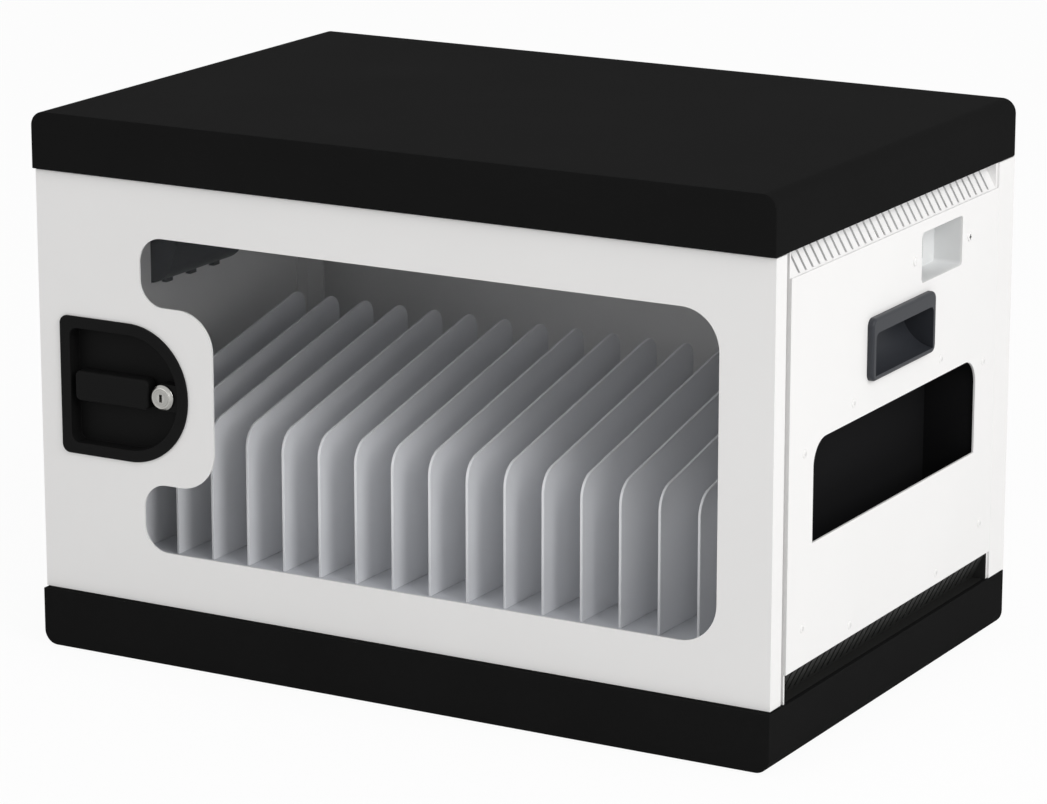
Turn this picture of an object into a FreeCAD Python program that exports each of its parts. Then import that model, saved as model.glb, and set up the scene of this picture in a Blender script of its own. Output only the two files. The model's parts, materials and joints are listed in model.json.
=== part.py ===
import FreeCAD, Part
import math
import os
from types import SimpleNamespace

import Sketcher

# Table-top charging cabinet. Millimetres, +X to the right, +Y to the back, +Z up.
# The origin is under the centre of the box, on the surface that the feet stand on.

SIZES = {
    # Whole cabinet
    "overall_width": 560,
    "overall_depth": 367,
    "base_height": 40,
    "body_height": 295.5,
    "cover_height": 39.5,
    "sheet": 1.5,
    "play": 0.3,
    "overrun": 1,
    # Base tray and top cover
    "cap_radius": 10,
    "cap_wall": 3.5,
    "cap_rib": 2.5,
    "boss_radius": 6,
    "boss_side_inset": 96,
    "boss_front_inset": 63.5,
    "cap_screw_radius": 2,
    "cap_screw_depth": 14,
    "cap_screw_head_radius": 4,
    "cap_screw_head": 2.4,
    "foot_radius": 14,
    "foot_thickness": 4,
    "foot_proud": 1.5,
    "foot_inset": 40,
    # Carcass
    "front_recess": 22.5,
    "rear_recess": 25.5,
    "post_leg": 15,
    "back_lip": 12,
    "back_rivet_radius": 3.5,
    "back_rivet_head": 1.2,
    "back_rivet_end": 28,
    "back_rivet_spacing": 70,
    # Sloped vent strips
    "upper_vent_height": 17.5,
    "lower_vent_height": 20,
    "vent_inset": 10,
    "vent_sheet": 1.2,
    "vent_lap": 2.5,
    "vent_flange": 9,
    "vent_slot_width": 2.6,
    "vent_slot_spacing": 9.67,
    "vent_slot_margin": 12,
    "vent_slot_land": 0.8,
    # Floor and dividers
    "floor_raise": 22.4,
    "floor_rail": 14,
    "side_bay": 46,
    "bay_spacing": 28.9,
    "divider_thickness": 2,
    "divider_setback": 29,
    "divider_rear_room": 78,
    "divider_front_height": 96.7,
    "divider_rear_height": 145,
    "divider_front_radius": 17,
    "divider_rear_radius": 12,
    "tab_setback": 38,
    "tab_length": 18,
    "tab_reach": 1.5,
    "tab_end_gap": 4,
    # Charging module
    "module_gap": 23,
    "module_depth": 46,
    "module_height": 48,
    "module_end_gap": 3,
    "module_radius": 4,
    "port_width": 12.6,
    "port_height": 4.6,
    "port_depth": 6,
    "port_rise": 30,
    # Mains inlet recess
    "inlet_drop": 25,
    "inlet_setback": 92.1,
    "inlet_width": 65,
    "inlet_height": 34,
    "inlet_depth": 21,
    "inlet_radius": 3,
    "inlet_ear": 19,
    "inlet_border": 3,
    "inlet_screw_offset": 43.4,
    "inlet_screw_radius": 3,
    "inlet_screw_head": 1,
    "socket_offset": 6.2,
    "socket_flange_width": 30.5,
    "socket_flange_height": 24,
    "socket_flange": 2.5,
    "socket_body_width": 27,
    "socket_body_height": 19.6,
    "socket_body_depth": 24,
    "socket_width": 24.2,
    "socket_height": 16,
    "socket_depth": 14,
    "socket_chamfer": 4.5,
    "pin_spacing": 7,
    "pin_rise": 2,
    "pin_thickness": 2,
    "pin_height": 4,
    "pin_length": 12,
    # Carrying handles
    "handle_drop": 44.9,
    "handle_width": 98,
    "handle_height": 42,
    "handle_radius": 5.5,
    "handle_proud": 4.4,
    "handle_edge": 2,
    "handle_lip": 10,
    "handle_lip_thickness": 6,
    "handle_lip_recess": 5.5,
    "handle_mouth_radius": 4.5,
    "handle_lower_rim": 3.5,
    "handle_side_rim": 4.5,
    "handle_wall": 2,
    "handle_depth": 28,
    "scoop_depth": 16.4,
    "scoop_rise": 1.6,
    "scoop_radius": 26,
    "scoop_back_radius": 20,
    "snap_width": 8,
    "snap_spacing": 30,
    "snap_length": 4,
    "snap_reach": 1.5,
    # Cord pocket
    "pocket_drop": 42.4,
    "pocket_height": 67,
    "pocket_border": 16.8,
    "pocket_radius": 17.5,
    "pocket_depth": 37,
    "pocket_wall": 2,
    "pocket_inner_radius": 8,
    "pocket_relief": 1.8,
    "pocket_flange_above": 20,
    "pocket_floor_rise": 11,
    "pocket_rivet_radius": 3,
    "pocket_rivet_head": 0.7,
    "pocket_rivet_edge": 4,
    "pocket_rivet_end": 5.5,
    "pocket_rivet_top": 8.2,
    "pocket_rivet_inset": 58.2,
    "pocket_rivet_upper": 5.2,
    "pocket_rivet_lower": 53.5,
    # Door
    "door_setback": 3.5,
    "door_depth": 15,
    "door_lip": 10,
    "door_left_gap": 0.5,
    "door_right_gap": 1.5,
    "door_end_gap": 1,
    "bumper_radius": 5,
    "bumper_inset": 50,
    # Door window
    "window_border": 38.5,
    "window_left_border": 83.5,
    "window_right_border": 40.2,
    "window_radius": 27,
    "window_lobe_radius": 18,
    "tab_side_margin": 19.9,
    "tab_end_margin": 13.4,
    "pane_thickness": 3,
    "pane_overlap": 12,
    "clip_sheet": 1.2,
    "clip_width": 14,
    "clip_reach": 7,
    # Hinge
    "hinge_pin_radius": 4,
    "hinge_pin_fit": 0.05,
    "hinge_pin_length": 18,
    "hinge_inset": 7.5,
    "hinge_block_width": 12,
    "hinge_block_height": 21,
    "hinge_hole_gap": 1,
    "hinge_washer_radius": 7,
    "hinge_washer": 0.8,
    # Lock housing
    "lock_plate_inset": 17.3,
    "lock_plate_height": 96.4,
    "lock_plate_proud": 1.5,
    "lock_plate_radius": 6,
    "lock_rim": 8,
    "dish_depth": 11.5,
    "dish_floor": 2.5,
    "dish_wall": 2,
    # Turn handle and its cam
    "bar_length": 60,
    "bar_height": 21,
    "bar_thickness": 9,
    "bar_radius": 4,
    "bar_edge": 2,
    "bar_end_gap": 3.5,
    "hub_radius": 8,
    "hub_gap": 0.2,
    "spindle_radius": 5,
    "spindle_square": 6,
    "running_fit": 0.05,
    "cam_sheet": 2.5,
    "cam_radius": 20,
    "cam_arm_width": 16,
    "latch_bite": 8.5,
    "latch_screw_radius": 4.5,
    "latch_screw_head": 3,
    # Key lock
    "barrel_gap": 2.2,
    "barrel_boss_radius": 9.3,
    "barrel_wall_gap": 2.7,
    "barrel_seat": 1.5,
    "barrel_head_radius": 9,
    "barrel_face_radius": 7,
    "barrel_head": 3.5,
    "barrel_bevel": 2,
    "barrel_radius": 8,
    "barrel_tail": 6,
    "barrel_nut_radius": 12.5,
    "barrel_nut": 3,
    "plug_radius": 6,
    "plug_square": 5,
    "key_slot_width": 2.2,
    "key_slot_height": 5.5,
    "key_slot_depth": 8,
    "tongue_length": 26,
    "tongue_width": 8,
    "tongue_gap": 1,
    "tongue_screw_radius": 3.6,
    "tongue_screw_head": 2.5,
}

# Shares are plain ratios of the sizes beside them.
LOCK_NOSE_SHARE = 0.98
ROUND_END_SHARE = 0.98
HEAD_CROWN_SHARE = 0.6


class Size:
    """A length that carries its value and the sheet expression that gives it."""

    def __init__(self, value, text):
        self.value = value
        self.text = text

    def __add__(self, other):
        return Size(self.value + other.value, f"({self.text} + {other.text})")

    def __sub__(self, other):
        return Size(self.value - other.value, f"({self.text} - {other.text})")

    def __mul__(self, ratio):
        return Size(self.value * ratio, f"({self.text} * ({ratio}))")

    def __truediv__(self, divisor):
        return Size(self.value / divisor, f"({self.text} / ({divisor}))")

    def __neg__(self):
        return self * -1

    def times_ratio_of(self, top, bottom):
        """This length times the ratio of two other lengths."""
        value = self.value * top.value / bottom.value
        return Size(value, f"({self.text} * {top.text} / {bottom.text})")


doc = FreeCAD.newDocument("charging_cabinet")
sheet = doc.addObject("Spreadsheet::Sheet", "sizes")
for row, (alias, number) in enumerate(SIZES.items(), start=1):
    sheet.set(f"A{row}", alias)
    sheet.set(f"B{row}", str(number))
    sheet.setAlias(f"B{row}", alias)
doc.recompute()

d = SimpleNamespace(**{alias: Size(number, f"sizes.{alias}") for alias, number in SIZES.items()})
ZERO = Size(0, "0")
nodes = []


# Places that several pieces share

half_width = d.overall_width / 2
half_depth = d.overall_depth / 2
front = -half_depth
back = half_depth
base_low = d.foot_proud
base_top = base_low + d.base_height
cover_low = base_top + d.body_height
cover_top = cover_low + d.cover_height
middle_z = (base_top + cover_low) / 2

carcass_front = front + d.front_recess
carcass_rear = back - d.rear_recess
panel_inside = half_width - d.sheet
post_inside = panel_inside - d.sheet
post_end = panel_inside - d.post_leg
panel_low = base_top + d.lower_vent_height
panel_high = cover_low - d.upper_vent_height
floor_top = base_top + d.floor_raise
floor_low = floor_top - d.sheet
floor_half_width = post_inside - d.play

bay_count = int((panel_inside.value - d.side_bay.value) * 2 / d.bay_spacing.value)
divider_span = d.bay_spacing * bay_count
divider_front = carcass_front + d.divider_setback
divider_rear = carcass_rear - d.divider_rear_room

door_left = d.door_left_gap - half_width
door_right = half_width - d.door_right_gap
door_front = front + d.door_setback
door_back = door_front + d.door_depth
door_inside = door_front + d.sheet
door_lip_front = door_back - d.sheet
door_low = base_top + d.door_end_gap
door_high = cover_low - d.door_end_gap
hinge_x = door_right - d.hinge_inset
hinge_y = door_front + d.hinge_inset

lock_left = door_left + d.lock_plate_inset
bar_x = lock_left + d.lock_rim + d.bar_end_gap + d.bar_length / 2
barrel_x = bar_x + d.bar_length / 2 + d.barrel_gap + d.barrel_boss_radius
lock_right = barrel_x + d.barrel_boss_radius + d.barrel_wall_gap + d.lock_rim
lock_front = door_front - d.lock_plate_proud
dish_floor_front = lock_front + d.dish_depth
dish_back = dish_floor_front + d.dish_floor
barrel_seat_y = lock_front + d.barrel_seat
barrel_face_y = barrel_seat_y - d.barrel_head
barrel_tail_y = dish_back + d.barrel_tail
cam_front = carcass_front + d.sheet + d.play
cam_back = cam_front + d.cam_sheet

tab_right = lock_right + d.tab_side_margin
tab_half_height = d.lock_plate_height / 2 + d.tab_end_margin
window_left = d.window_left_border - half_width
window_right = half_width - d.window_right_border
window_low = base_top + d.window_border
window_high = cover_low - d.window_border

inlet_y = carcass_rear - d.inlet_setback
socket_y = inlet_y - d.socket_offset
inlet_z = panel_high - d.inlet_drop
inlet_wall_x = half_width - d.inlet_depth
handle_z = inlet_z - d.handle_drop
handle_face_x = half_width + d.handle_proud
pocket_high = handle_z - d.pocket_drop
pocket_low = pocket_high - d.pocket_height
pocket_flange_half = carcass_rear - d.post_leg - d.play
pocket_half = pocket_flange_half - d.pocket_border
pocket_flange_low = panel_low + d.vent_lap + d.play
pocket_flange_high = pocket_high + d.pocket_flange_above


# Drawing helpers


def bind(thing, path, size):
    thing.setExpression(path, size.text)


def new_body(label):
    body = doc.addObject("PartDesign::Body", label)
    body.Label = label
    return body


def origin_feature(body, role):
    return next(feature for feature in body.Origin.OriginFeatures if feature.Role == role)


def disc(x, y, radius):
    """A round loop for a sketch."""
    return SimpleNamespace(x=x, y=y, radius=radius)


def rectangle(x_low, x_high, y_low, y_high, radius=None):
    """A four-cornered loop for a sketch, with round corners where a radius is given."""
    places = [(x_low, y_low), (x_high, y_low), (x_high, y_high), (x_low, y_high)]
    if radius is None:
        return places
    return [(x, y, radius) for x, y in places]


def frame_sketch(body, plane, offset):
    sketch = body.newObject("Sketcher::SketchObject", f"{body.Name}_sketch")
    sketch.AttachmentSupport = [(origin_feature(body, f"{plane}_Plane"), "")]
    sketch.MapMode = "FlatFace"
    bind(sketch, "AttachmentOffset.Base.z", offset)
    return sketch


def hold(sketch, kind, geometry, point, size):
    """Hold one coordinate of a point at a size from the sheet."""
    if size.text == ZERO.text:
        axis = -2 if kind == "DistanceX" else -1
        sketch.addConstraint(Sketcher.Constraint("PointOnObject", geometry, point, axis))
        return
    index = sketch.addConstraint(Sketcher.Constraint(kind, geometry, point, size.value))
    bind(sketch, f"Constraints[{index}]", size)


def draw_disc(sketch, loop):
    centre = FreeCAD.Vector(loop.x.value, loop.y.value, 0)
    circle = sketch.addGeometry(Part.Circle(centre, FreeCAD.Vector(0, 0, 1), loop.radius.value))
    index = sketch.addConstraint(Sketcher.Constraint("Radius", circle, loop.radius.value))
    bind(sketch, f"Constraints[{index}]", loop.radius)
    hold(sketch, "DistanceX", circle, 3, loop.x)
    hold(sketch, "DistanceY", circle, 3, loop.y)


def corner_arc(before, place, after, radius):
    """Where a round corner starts and ends, its centre, and whether it turns left."""
    towards = (before - place).normalize()
    away = (after - place).normalize()
    half_angle = towards.getAngle(away) / 2
    reach = radius / math.tan(half_angle)
    centre = place + (towards + away).normalize() * (radius / math.sin(half_angle))
    turns_left = (place - before).cross(after - place).z > 0
    return place + towards * reach, place + away * reach, centre, turns_left


def angle_about(centre, point):
    return math.atan2(point.y - centre.y, point.x - centre.x)


def draw_polygon(sketch, corners):
    """Draw a closed loop of lines, with a tangent arc at each corner that has a radius."""
    places = [FreeCAD.Vector(corner[0].value, corner[1].value, 0) for corner in corners]
    starts = []
    ends = []
    arcs = []
    for index, corner in enumerate(corners):
        starts.append(places[index])
        ends.append(places[index])
        arcs.append(None)
        if len(corner) == 3:
            after = places[(index + 1) % len(places)]
            arcs[index] = corner_arc(places[index - 1], places[index], after, corner[2].value)
            starts[index], ends[index] = arcs[index][:2]
    lines = []
    for index in range(len(corners)):
        following = (index + 1) % len(corners)
        lines.append(sketch.addGeometry(Part.LineSegment(ends[index], starts[following])))
    for index, corner in enumerate(corners):
        incoming = lines[index - 1]
        outgoing = lines[index]
        if arcs[index] is None:
            sketch.addConstraint(Sketcher.Constraint("Coincident", incoming, 2, outgoing, 1))
            hold(sketch, "DistanceX", outgoing, 1, corner[0])
            hold(sketch, "DistanceY", outgoing, 1, corner[1])
            continue
        start, end, centre, turns_left = arcs[index]
        first, last = (start, end) if turns_left else (end, start)
        low_angle = angle_about(centre, first)
        high_angle = angle_about(centre, last)
        if high_angle < low_angle:
            high_angle += 2 * math.pi
        circle = Part.Circle(centre, FreeCAD.Vector(0, 0, 1), corner[2].value)
        arc = sketch.addGeometry(Part.ArcOfCircle(circle, low_angle, high_angle))
        near, far = (1, 2) if turns_left else (2, 1)
        sketch.addConstraint(Sketcher.Constraint("Tangent", incoming, 2, arc, near))
        sketch.addConstraint(Sketcher.Constraint("Tangent", arc, far, outgoing, 1))
        radius_index = sketch.addConstraint(Sketcher.Constraint("Radius", arc, corner[2].value))
        bind(sketch, f"Constraints[{radius_index}]", corner[2])
        corner_point = sketch.addGeometry(Part.Point(places[index]), True)
        sketch.addConstraint(Sketcher.Constraint("PointOnObject", corner_point, 1, incoming))
        sketch.addConstraint(Sketcher.Constraint("PointOnObject", corner_point, 1, outgoing))
        hold(sketch, "DistanceX", corner_point, 1, corner[0])
        hold(sketch, "DistanceY", corner_point, 1, corner[1])


def draw(body, plane, loops, offset):
    """Draw loops on one of the body's origin planes, moved along that plane's normal."""
    sketch = frame_sketch(body, plane, offset)
    for loop in loops:
        if isinstance(loop, SimpleNamespace):
            draw_disc(sketch, loop)
        else:
            draw_polygon(sketch, loop)
    return sketch


def pad(body, plane, loops, low, high):
    """Add material between two places along the normal of a plane."""
    start = -high if plane == "XZ" else low
    feature = body.newObject("PartDesign::Pad", f"{body.Name}_pad")
    feature.Profile = draw(body, plane, loops, start)
    bind(feature, "Length", high - low)
    body.Tip = feature
    return feature


def cut(body, plane, loops, low, high):
    """Take material away between two places along the normal of a plane."""
    doc.recompute()
    before = body.Shape.Volume
    start = -low if plane == "XZ" else high
    feature = body.newObject("PartDesign::Pocket", f"{body.Name}_cut")
    feature.Profile = draw(body, plane, loops, start)
    bind(feature, "Length", high - low)
    body.Tip = feature
    doc.recompute()
    if not body.Shape.Volume < before:
        raise RuntimeError(f"a cut in {body.Label} takes nothing away")
    return feature


def repeat(body, feature, axis, length, count):
    """Repeat a feature along one of the body's axes."""
    pattern = body.newObject("PartDesign::LinearPattern", f"{body.Name}_row")
    pattern.Originals = [feature]
    pattern.Direction = (origin_feature(body, f"{axis}_Axis"), [""])
    bind(pattern, "Length", length)
    pattern.Occurrences = count
    body.Tip = pattern
    return pattern


def round_edges(body, radius, chosen):
    """Round the edges of the body for which the function chosen is true."""
    doc.recompute()
    tip = body.Tip
    names = [f"Edge{number}" for number, edge in enumerate(tip.Shape.Edges, start=1) if chosen(edge)]
    if not names:
        raise RuntimeError(f"no edge of {body.Label} to round")
    feature = body.newObject("PartDesign::Fillet", f"{body.Name}_round")
    feature.Base = (tip, names)
    bind(feature, "Radius", radius)
    body.Tip = feature
    return feature


def lies_on(edge, axis, size):
    """Whether an edge lies in the plane across an axis at a size."""
    box = edge.BoundBox
    low = getattr(box, f"{axis}Min")
    high = getattr(box, f"{axis}Max")
    return abs(low - size.value) < FLAT and abs(high - size.value) < FLAT


FLAT = 1e-4
TURNED_ALONG = {
    "X": FreeCAD.Rotation(FreeCAD.Vector(0, 1, 0), 90),
    "Y": FreeCAD.Rotation(FreeCAD.Vector(1, 0, 0), -90),
    "Z": FreeCAD.Rotation(),
}


def turned(label, axis, profile, across):
    """A turned piece: a profile of radius and place along the axis, put at its places across it."""
    body = new_body(label)
    sketch = draw(body, "XZ", [profile], ZERO)
    feature = body.newObject("PartDesign::Revolution", f"{label}_turned")
    feature.Profile = sketch
    feature.ReferenceAxis = (sketch, ["V_Axis"])
    feature.Angle = 360
    body.Tip = feature
    body.Placement = FreeCAD.Placement(FreeCAD.Vector(), TURNED_ALONG[axis])
    for letter, place in zip("XYZ".replace(axis, ""), across):
        bind(body, f"Placement.Base.{letter.lower()}", place)
    return body


def cylinder_profile(radius, low, high):
    return [(ZERO, low), (radius, low), (radius, high), (ZERO, high)]


def head_profile(radius, seat, crown):
    """A low fastener head that narrows from its seat to its crown."""
    return [(ZERO, seat), (radius, seat), (radius * HEAD_CROWN_SHARE, crown), (ZERO, crown)]


def block(label, low, high):
    """A plain box between two corners."""
    box = doc.addObject("Part::Box", label)
    box.Label = label
    for side, letter, start, end in zip(("Length", "Width", "Height"), "xyz", low, high):
        bind(box, side, end - start)
        bind(box, f"Placement.Base.{letter}", start)
    return box


def group(label, members):
    """Several solids that share one node."""
    compound = doc.addObject("Part::Compound", label)
    compound.Label = label
    compound.Links = members
    return compound


def joined(label, members):
    fusion = doc.addObject("Part::MultiFuse", label)
    fusion.Label = label
    fusion.Shapes = members
    return fusion


def mirrored(label, source):
    """The same piece on the other side of the middle plane."""
    copy = doc.addObject("Part::Mirroring", label)
    copy.Label = label
    copy.Source = source
    copy.Normal = FreeCAD.Vector(1, 0, 0)
    return copy


def ordered(*sizes):
    """Sizes from the lowest to the highest."""
    return sorted(sizes, key=lambda size: size.value)


def keep(thing):
    nodes.append(thing)
    return thing


def spread(half_x, half_y):
    """The four corners of a rectangle about the middle."""
    return [(half_x * sx, half_y * sy) for sx in (-1, 1) for sy in (-1, 1)]


# Base tray and top cover, each a shell that is open towards the carcass

cap_inside_x = half_width - d.cap_wall
cap_inside_y = half_depth - d.cap_wall
plate_half_x = cap_inside_x - d.play
plate_half_y = cap_inside_y - d.play
boss_x = half_width - d.boss_side_inset
boss_y = half_depth - d.boss_front_inset
boss_places = []
for column in (-1, 0, 1):
    for row in (-1, 1):
        boss_places.append((boss_x * column, boss_y * row))
foot_places = spread(half_width - d.foot_inset, half_depth - d.foot_inset)


def make_cap(label, outline, cavity, rib_span, hole_span):
    """A moulded shell with stiffening ribs and screw bosses inside."""
    body = new_body(label)
    pad(body, "XZ", [outline], front, back)
    inside = rectangle(-cap_inside_x, cap_inside_x, -cap_inside_y, cap_inside_y)
    cut(body, "XY", [inside], *cavity)
    half_rib = d.cap_rib / 2
    for column in (-2, -1, 0, 1, 2):
        place = boss_x / 2 * column
        rib = rectangle(place - half_rib, place + half_rib, -cap_inside_y, cap_inside_y)
        pad(body, "XY", [rib], *rib_span)
    pad(body, "XY", [rectangle(-cap_inside_x, cap_inside_x, -half_rib, half_rib)], *rib_span)
    pad(body, "XY", [disc(x, y, d.boss_radius) for x, y in boss_places], *rib_span)
    cut(body, "XY", [disc(x, y, d.cap_screw_radius) for x, y in boss_places], *hole_span)
    return keep(body)


def make_plate(label, low, high):
    """A flat steel plate that closes a cap, with clearance holes for its screws."""
    body = new_body(label)
    outline = rectangle(-plate_half_x, plate_half_x, -plate_half_y, plate_half_y)
    holes = [disc(x, y, d.cap_screw_radius + d.play) for x, y in boss_places]
    pad(body, "XY", [outline] + holes, low, high)
    return keep(body)


def make_cap_screws(label, crown, seat, tip):
    """Pan-head screws that hold a cap to its plate."""
    profile = [
        (ZERO, crown),
        (d.cap_screw_head_radius * HEAD_CROWN_SHARE, crown),
        (d.cap_screw_head_radius, seat),
        (d.cap_screw_radius, seat),
        (d.cap_screw_radius, tip),
        (ZERO, tip),
    ]
    screws = []
    for place in boss_places:
        screws.append(turned(f"{label}_{len(screws) + 1}", "Z", profile, place))
    return keep(group(label, screws))


base_plate_low = base_top - d.sheet
base_outline = [
    (-half_width, base_low, d.cap_radius),
    (half_width, base_low, d.cap_radius),
    (half_width, base_top),
    (-half_width, base_top),
]
base_floor = base_low + d.cap_wall
base_hole = base_plate_low - d.cap_screw_depth
base_tray = make_cap(
    "base_tray",
    base_outline,
    (base_floor, base_top),
    (base_floor, base_plate_low),
    (base_hole, base_plate_low),
)
foot_recesses = [disc(x, y, d.foot_radius + d.play) for x, y in foot_places]
cut(base_tray, "XY", foot_recesses, base_low, d.foot_thickness)
make_plate("base_plate", base_plate_low, base_top)
make_cap_screws("base_screws", base_top + d.cap_screw_head, base_top, base_hole)

cover_outline = [
    (-half_width, cover_low),
    (half_width, cover_low),
    (half_width, cover_top, d.cap_radius),
    (-half_width, cover_top, d.cap_radius),
]
cover_ceiling = cover_top - d.cap_wall
roof_plate_high = cover_low + d.sheet
cover_hole = roof_plate_high + d.cap_screw_depth
make_cap(
    "top_cover",
    cover_outline,
    (cover_low, cover_ceiling),
    (roof_plate_high, cover_ceiling),
    (roof_plate_high, cover_hole),
)
make_plate("roof_plate", cover_low, roof_plate_high)
make_cap_screws("cover_screws", cover_low - d.cap_screw_head, cover_low, cover_hole)

foot_profile = cylinder_profile(d.foot_radius, ZERO, d.foot_thickness)
feet = []
for place in foot_places:
    feet.append(turned(f"rubber_foot_{len(feet) + 1}", "Z", foot_profile, place))
keep(group("rubber_feet", feet))


# Corner posts: an angle with a full-height flange and a leg behind the flat of the side panel


def make_post(label, side, edge, inward):
    body = new_body(label)
    flange_back = edge + d.sheet * inward
    leg_end = edge + d.post_leg * inward
    flange = rectangle(*ordered(panel_inside * side, post_end * side), *ordered(edge, flange_back))
    pad(body, "XY", [flange], base_top, cover_low)
    leg = rectangle(*ordered(panel_inside * side, post_inside * side), *ordered(edge, leg_end))
    pad(body, "XY", [leg], panel_low + d.vent_lap, panel_high - d.vent_lap)
    return keep(body)


make_post("front_left_post", -1, carcass_front, 1)
make_post("front_right_post", 1, carcass_front, 1)
make_post("rear_left_post", -1, carcass_rear, -1)
make_post("rear_right_post", 1, carcass_rear, -1)


# Vent strips: a slotted slope between each side panel and the cover or base

strip_front = carcass_front + d.sheet + d.play
strip_rear = carcass_rear - d.sheet - d.play
slot_room = strip_rear.value - strip_front.value - 2 * d.vent_slot_margin.value
slot_count = int(slot_room / d.vent_slot_spacing.value) + 1
slot_run = d.vent_slot_spacing * (slot_count - 1)
slot_start = (strip_front + strip_rear - slot_run - d.vent_slot_width) / 2


def make_vent_strip(label, panel_edge, plate_face, upwards, height):
    """One strip on the right side: lap behind the panel, slope, flange on the plate and rear end tab."""
    body = new_body(label)
    lap_end = panel_edge - d.vent_lap * upwards
    slope_end = panel_inside - d.vent_inset
    flange_end = slope_end - d.vent_flange
    flange_face = plate_face - d.vent_sheet * upwards
    inner_end = slope_end - d.vent_sheet + d.vent_sheet.times_ratio_of(d.vent_inset, height)
    section = [
        (panel_inside, lap_end),
        (panel_inside, panel_edge),
        (slope_end, plate_face),
        (flange_end, plate_face),
        (flange_end, flange_face),
        (inner_end, flange_face),
        (panel_inside - d.vent_sheet, panel_edge),
        (panel_inside - d.vent_sheet, lap_end),
    ]
    pad(body, "XZ", [section], strip_front, strip_rear)
    end_tab = [(panel_inside, panel_edge), (panel_inside, plate_face), (slope_end, plate_face)]
    pad(body, "XZ", [end_tab], strip_rear - d.vent_sheet, strip_rear)
    near_edge = panel_edge + d.vent_slot_land * upwards
    far_edge = flange_face - d.vent_slot_land * upwards
    slot = rectangle(slot_start, slot_start + d.vent_slot_width, *ordered(near_edge, far_edge))
    slots = cut(body, "YZ", [slot], flange_end, panel_inside)
    repeat(body, slots, "Y", slot_run, slot_count)
    return body


upper_strip = make_vent_strip("upper_right_vent", panel_high, cover_low, 1, d.upper_vent_height)
lower_strip = make_vent_strip("lower_right_vent", panel_low, base_top, -1, d.lower_vent_height)
strips = [
    upper_strip,
    lower_strip,
    mirrored("upper_left_vent", upper_strip),
    mirrored("lower_left_vent", lower_strip),
]
keep(group("vent_strips", strips))


# Side panels

handle_low = handle_z - d.handle_height / 2
handle_high = handle_z + d.handle_height / 2
opening_low = handle_low + d.handle_lower_rim
opening_high = handle_high - d.handle_lip
cup_half = d.handle_width / 2 - d.handle_side_rim + d.handle_wall
cup_low = opening_low - d.handle_wall
cavity_high = opening_high + d.handle_lip_recess
cup_high = cavity_high + d.handle_wall
handle_hole = rectangle(-cup_half - d.play, cup_half + d.play, cup_low - d.play, cup_high + d.play)
panel_outline = rectangle(carcass_front, carcass_rear - d.play, panel_low, panel_high)

left_panel = keep(new_body("left_side_panel"))
pad(left_panel, "YZ", [panel_outline, handle_hole], -half_width, -panel_inside)

pocket_mouth = [
    (-pocket_half, pocket_low),
    (pocket_half, pocket_low),
    (pocket_half, pocket_high, d.pocket_radius),
    (-pocket_half, pocket_high, d.pocket_radius),
]
inlet_half = d.inlet_width / 2
inlet_half_height = d.inlet_height / 2
inlet_mouth = rectangle(
    inlet_y - inlet_half,
    inlet_y + inlet_half,
    inlet_z - inlet_half_height,
    inlet_z + inlet_half_height,
    d.inlet_radius,
)
right_panel = keep(new_body("right_side_panel"))
pad(right_panel, "YZ", [panel_outline, handle_hole, pocket_mouth, inlet_mouth], panel_inside, half_width)


# Back panel: a pan whose side returns reach forward to the rear posts

back_panel = keep(new_body("back_panel"))
back_low = base_top + d.play
back_high = cover_low - d.play
back_inside = half_width - d.sheet
pad(back_panel, "XZ", [rectangle(-half_width, half_width, back_low, back_high)], carcass_rear, back)
pan_room = rectangle(-back_inside, back_inside, back_low + d.sheet, back_high - d.sheet)
cut(back_panel, "XZ", [pan_room], carcass_rear + d.sheet, back - d.sheet)
lip_x = half_width - d.back_lip
pan_mouth = rectangle(-lip_x, lip_x, back_low + d.back_lip, back_high - d.back_lip)
cut(back_panel, "XZ", [pan_mouth], carcass_rear, carcass_rear + d.sheet)

post_face = carcass_rear - d.sheet
back_rivet_x = (post_end + post_inside) / 2
back_rivet_heights = [
    base_top + d.back_rivet_end,
    base_top + d.back_rivet_end + d.back_rivet_spacing,
    cover_low - d.back_rivet_end,
]
rivet_profile = head_profile(d.back_rivet_radius, post_face, post_face - d.back_rivet_head)
rivets = []
for side in (-1, 1):
    for level in back_rivet_heights:
        place = (back_rivet_x * side, level)
        rivets.append(turned(f"back_panel_rivet_{len(rivets) + 1}", "Y", rivet_profile, place))
keep(group("back_panel_rivets", rivets))


# Floor shelf on two rails, and the row of dividers tabbed into it

rail_half = panel_inside - d.vent_inset - d.vent_flange - d.play
floor_front = carcass_front + d.sheet + d.play
floor_rear = carcass_rear - d.sheet - d.play
first_divider_x = -divider_span / 2
half_divider = d.divider_thickness / 2
tab_starts = [divider_front + d.tab_setback, divider_rear - d.tab_setback - d.tab_length]

floor_shelf = keep(new_body("floor_shelf"))
shelf_outline = rectangle(-floor_half_width, floor_half_width, floor_front, floor_rear)
pad(floor_shelf, "XY", [shelf_outline], floor_low, floor_top)
slot_left = first_divider_x - half_divider - d.play
slot_right = first_divider_x + half_divider + d.play
tab_slots = [
    rectangle(slot_left, slot_right, start - d.tab_end_gap, start + d.tab_length + d.tab_end_gap)
    for start in tab_starts
]
slots = cut(floor_shelf, "XY", tab_slots, floor_low, floor_top)
repeat(floor_shelf, slots, "X", divider_span, bay_count + 1)


def make_rail(label, web, inward):
    """A channel on its side that carries one edge of the shelf on the base plate."""
    body = new_body(label)
    web_back = web + d.sheet * inward
    flange_end = web + d.floor_rail * inward
    section = [
        (web, base_top),
        (flange_end, base_top),
        (flange_end, base_top + d.sheet),
        (web_back, base_top + d.sheet),
        (web_back, floor_low - d.sheet),
        (flange_end, floor_low - d.sheet),
        (flange_end, floor_low),
        (web, floor_low),
    ]
    pad(body, "YZ", [section], -rail_half, rail_half)
    return body


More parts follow.
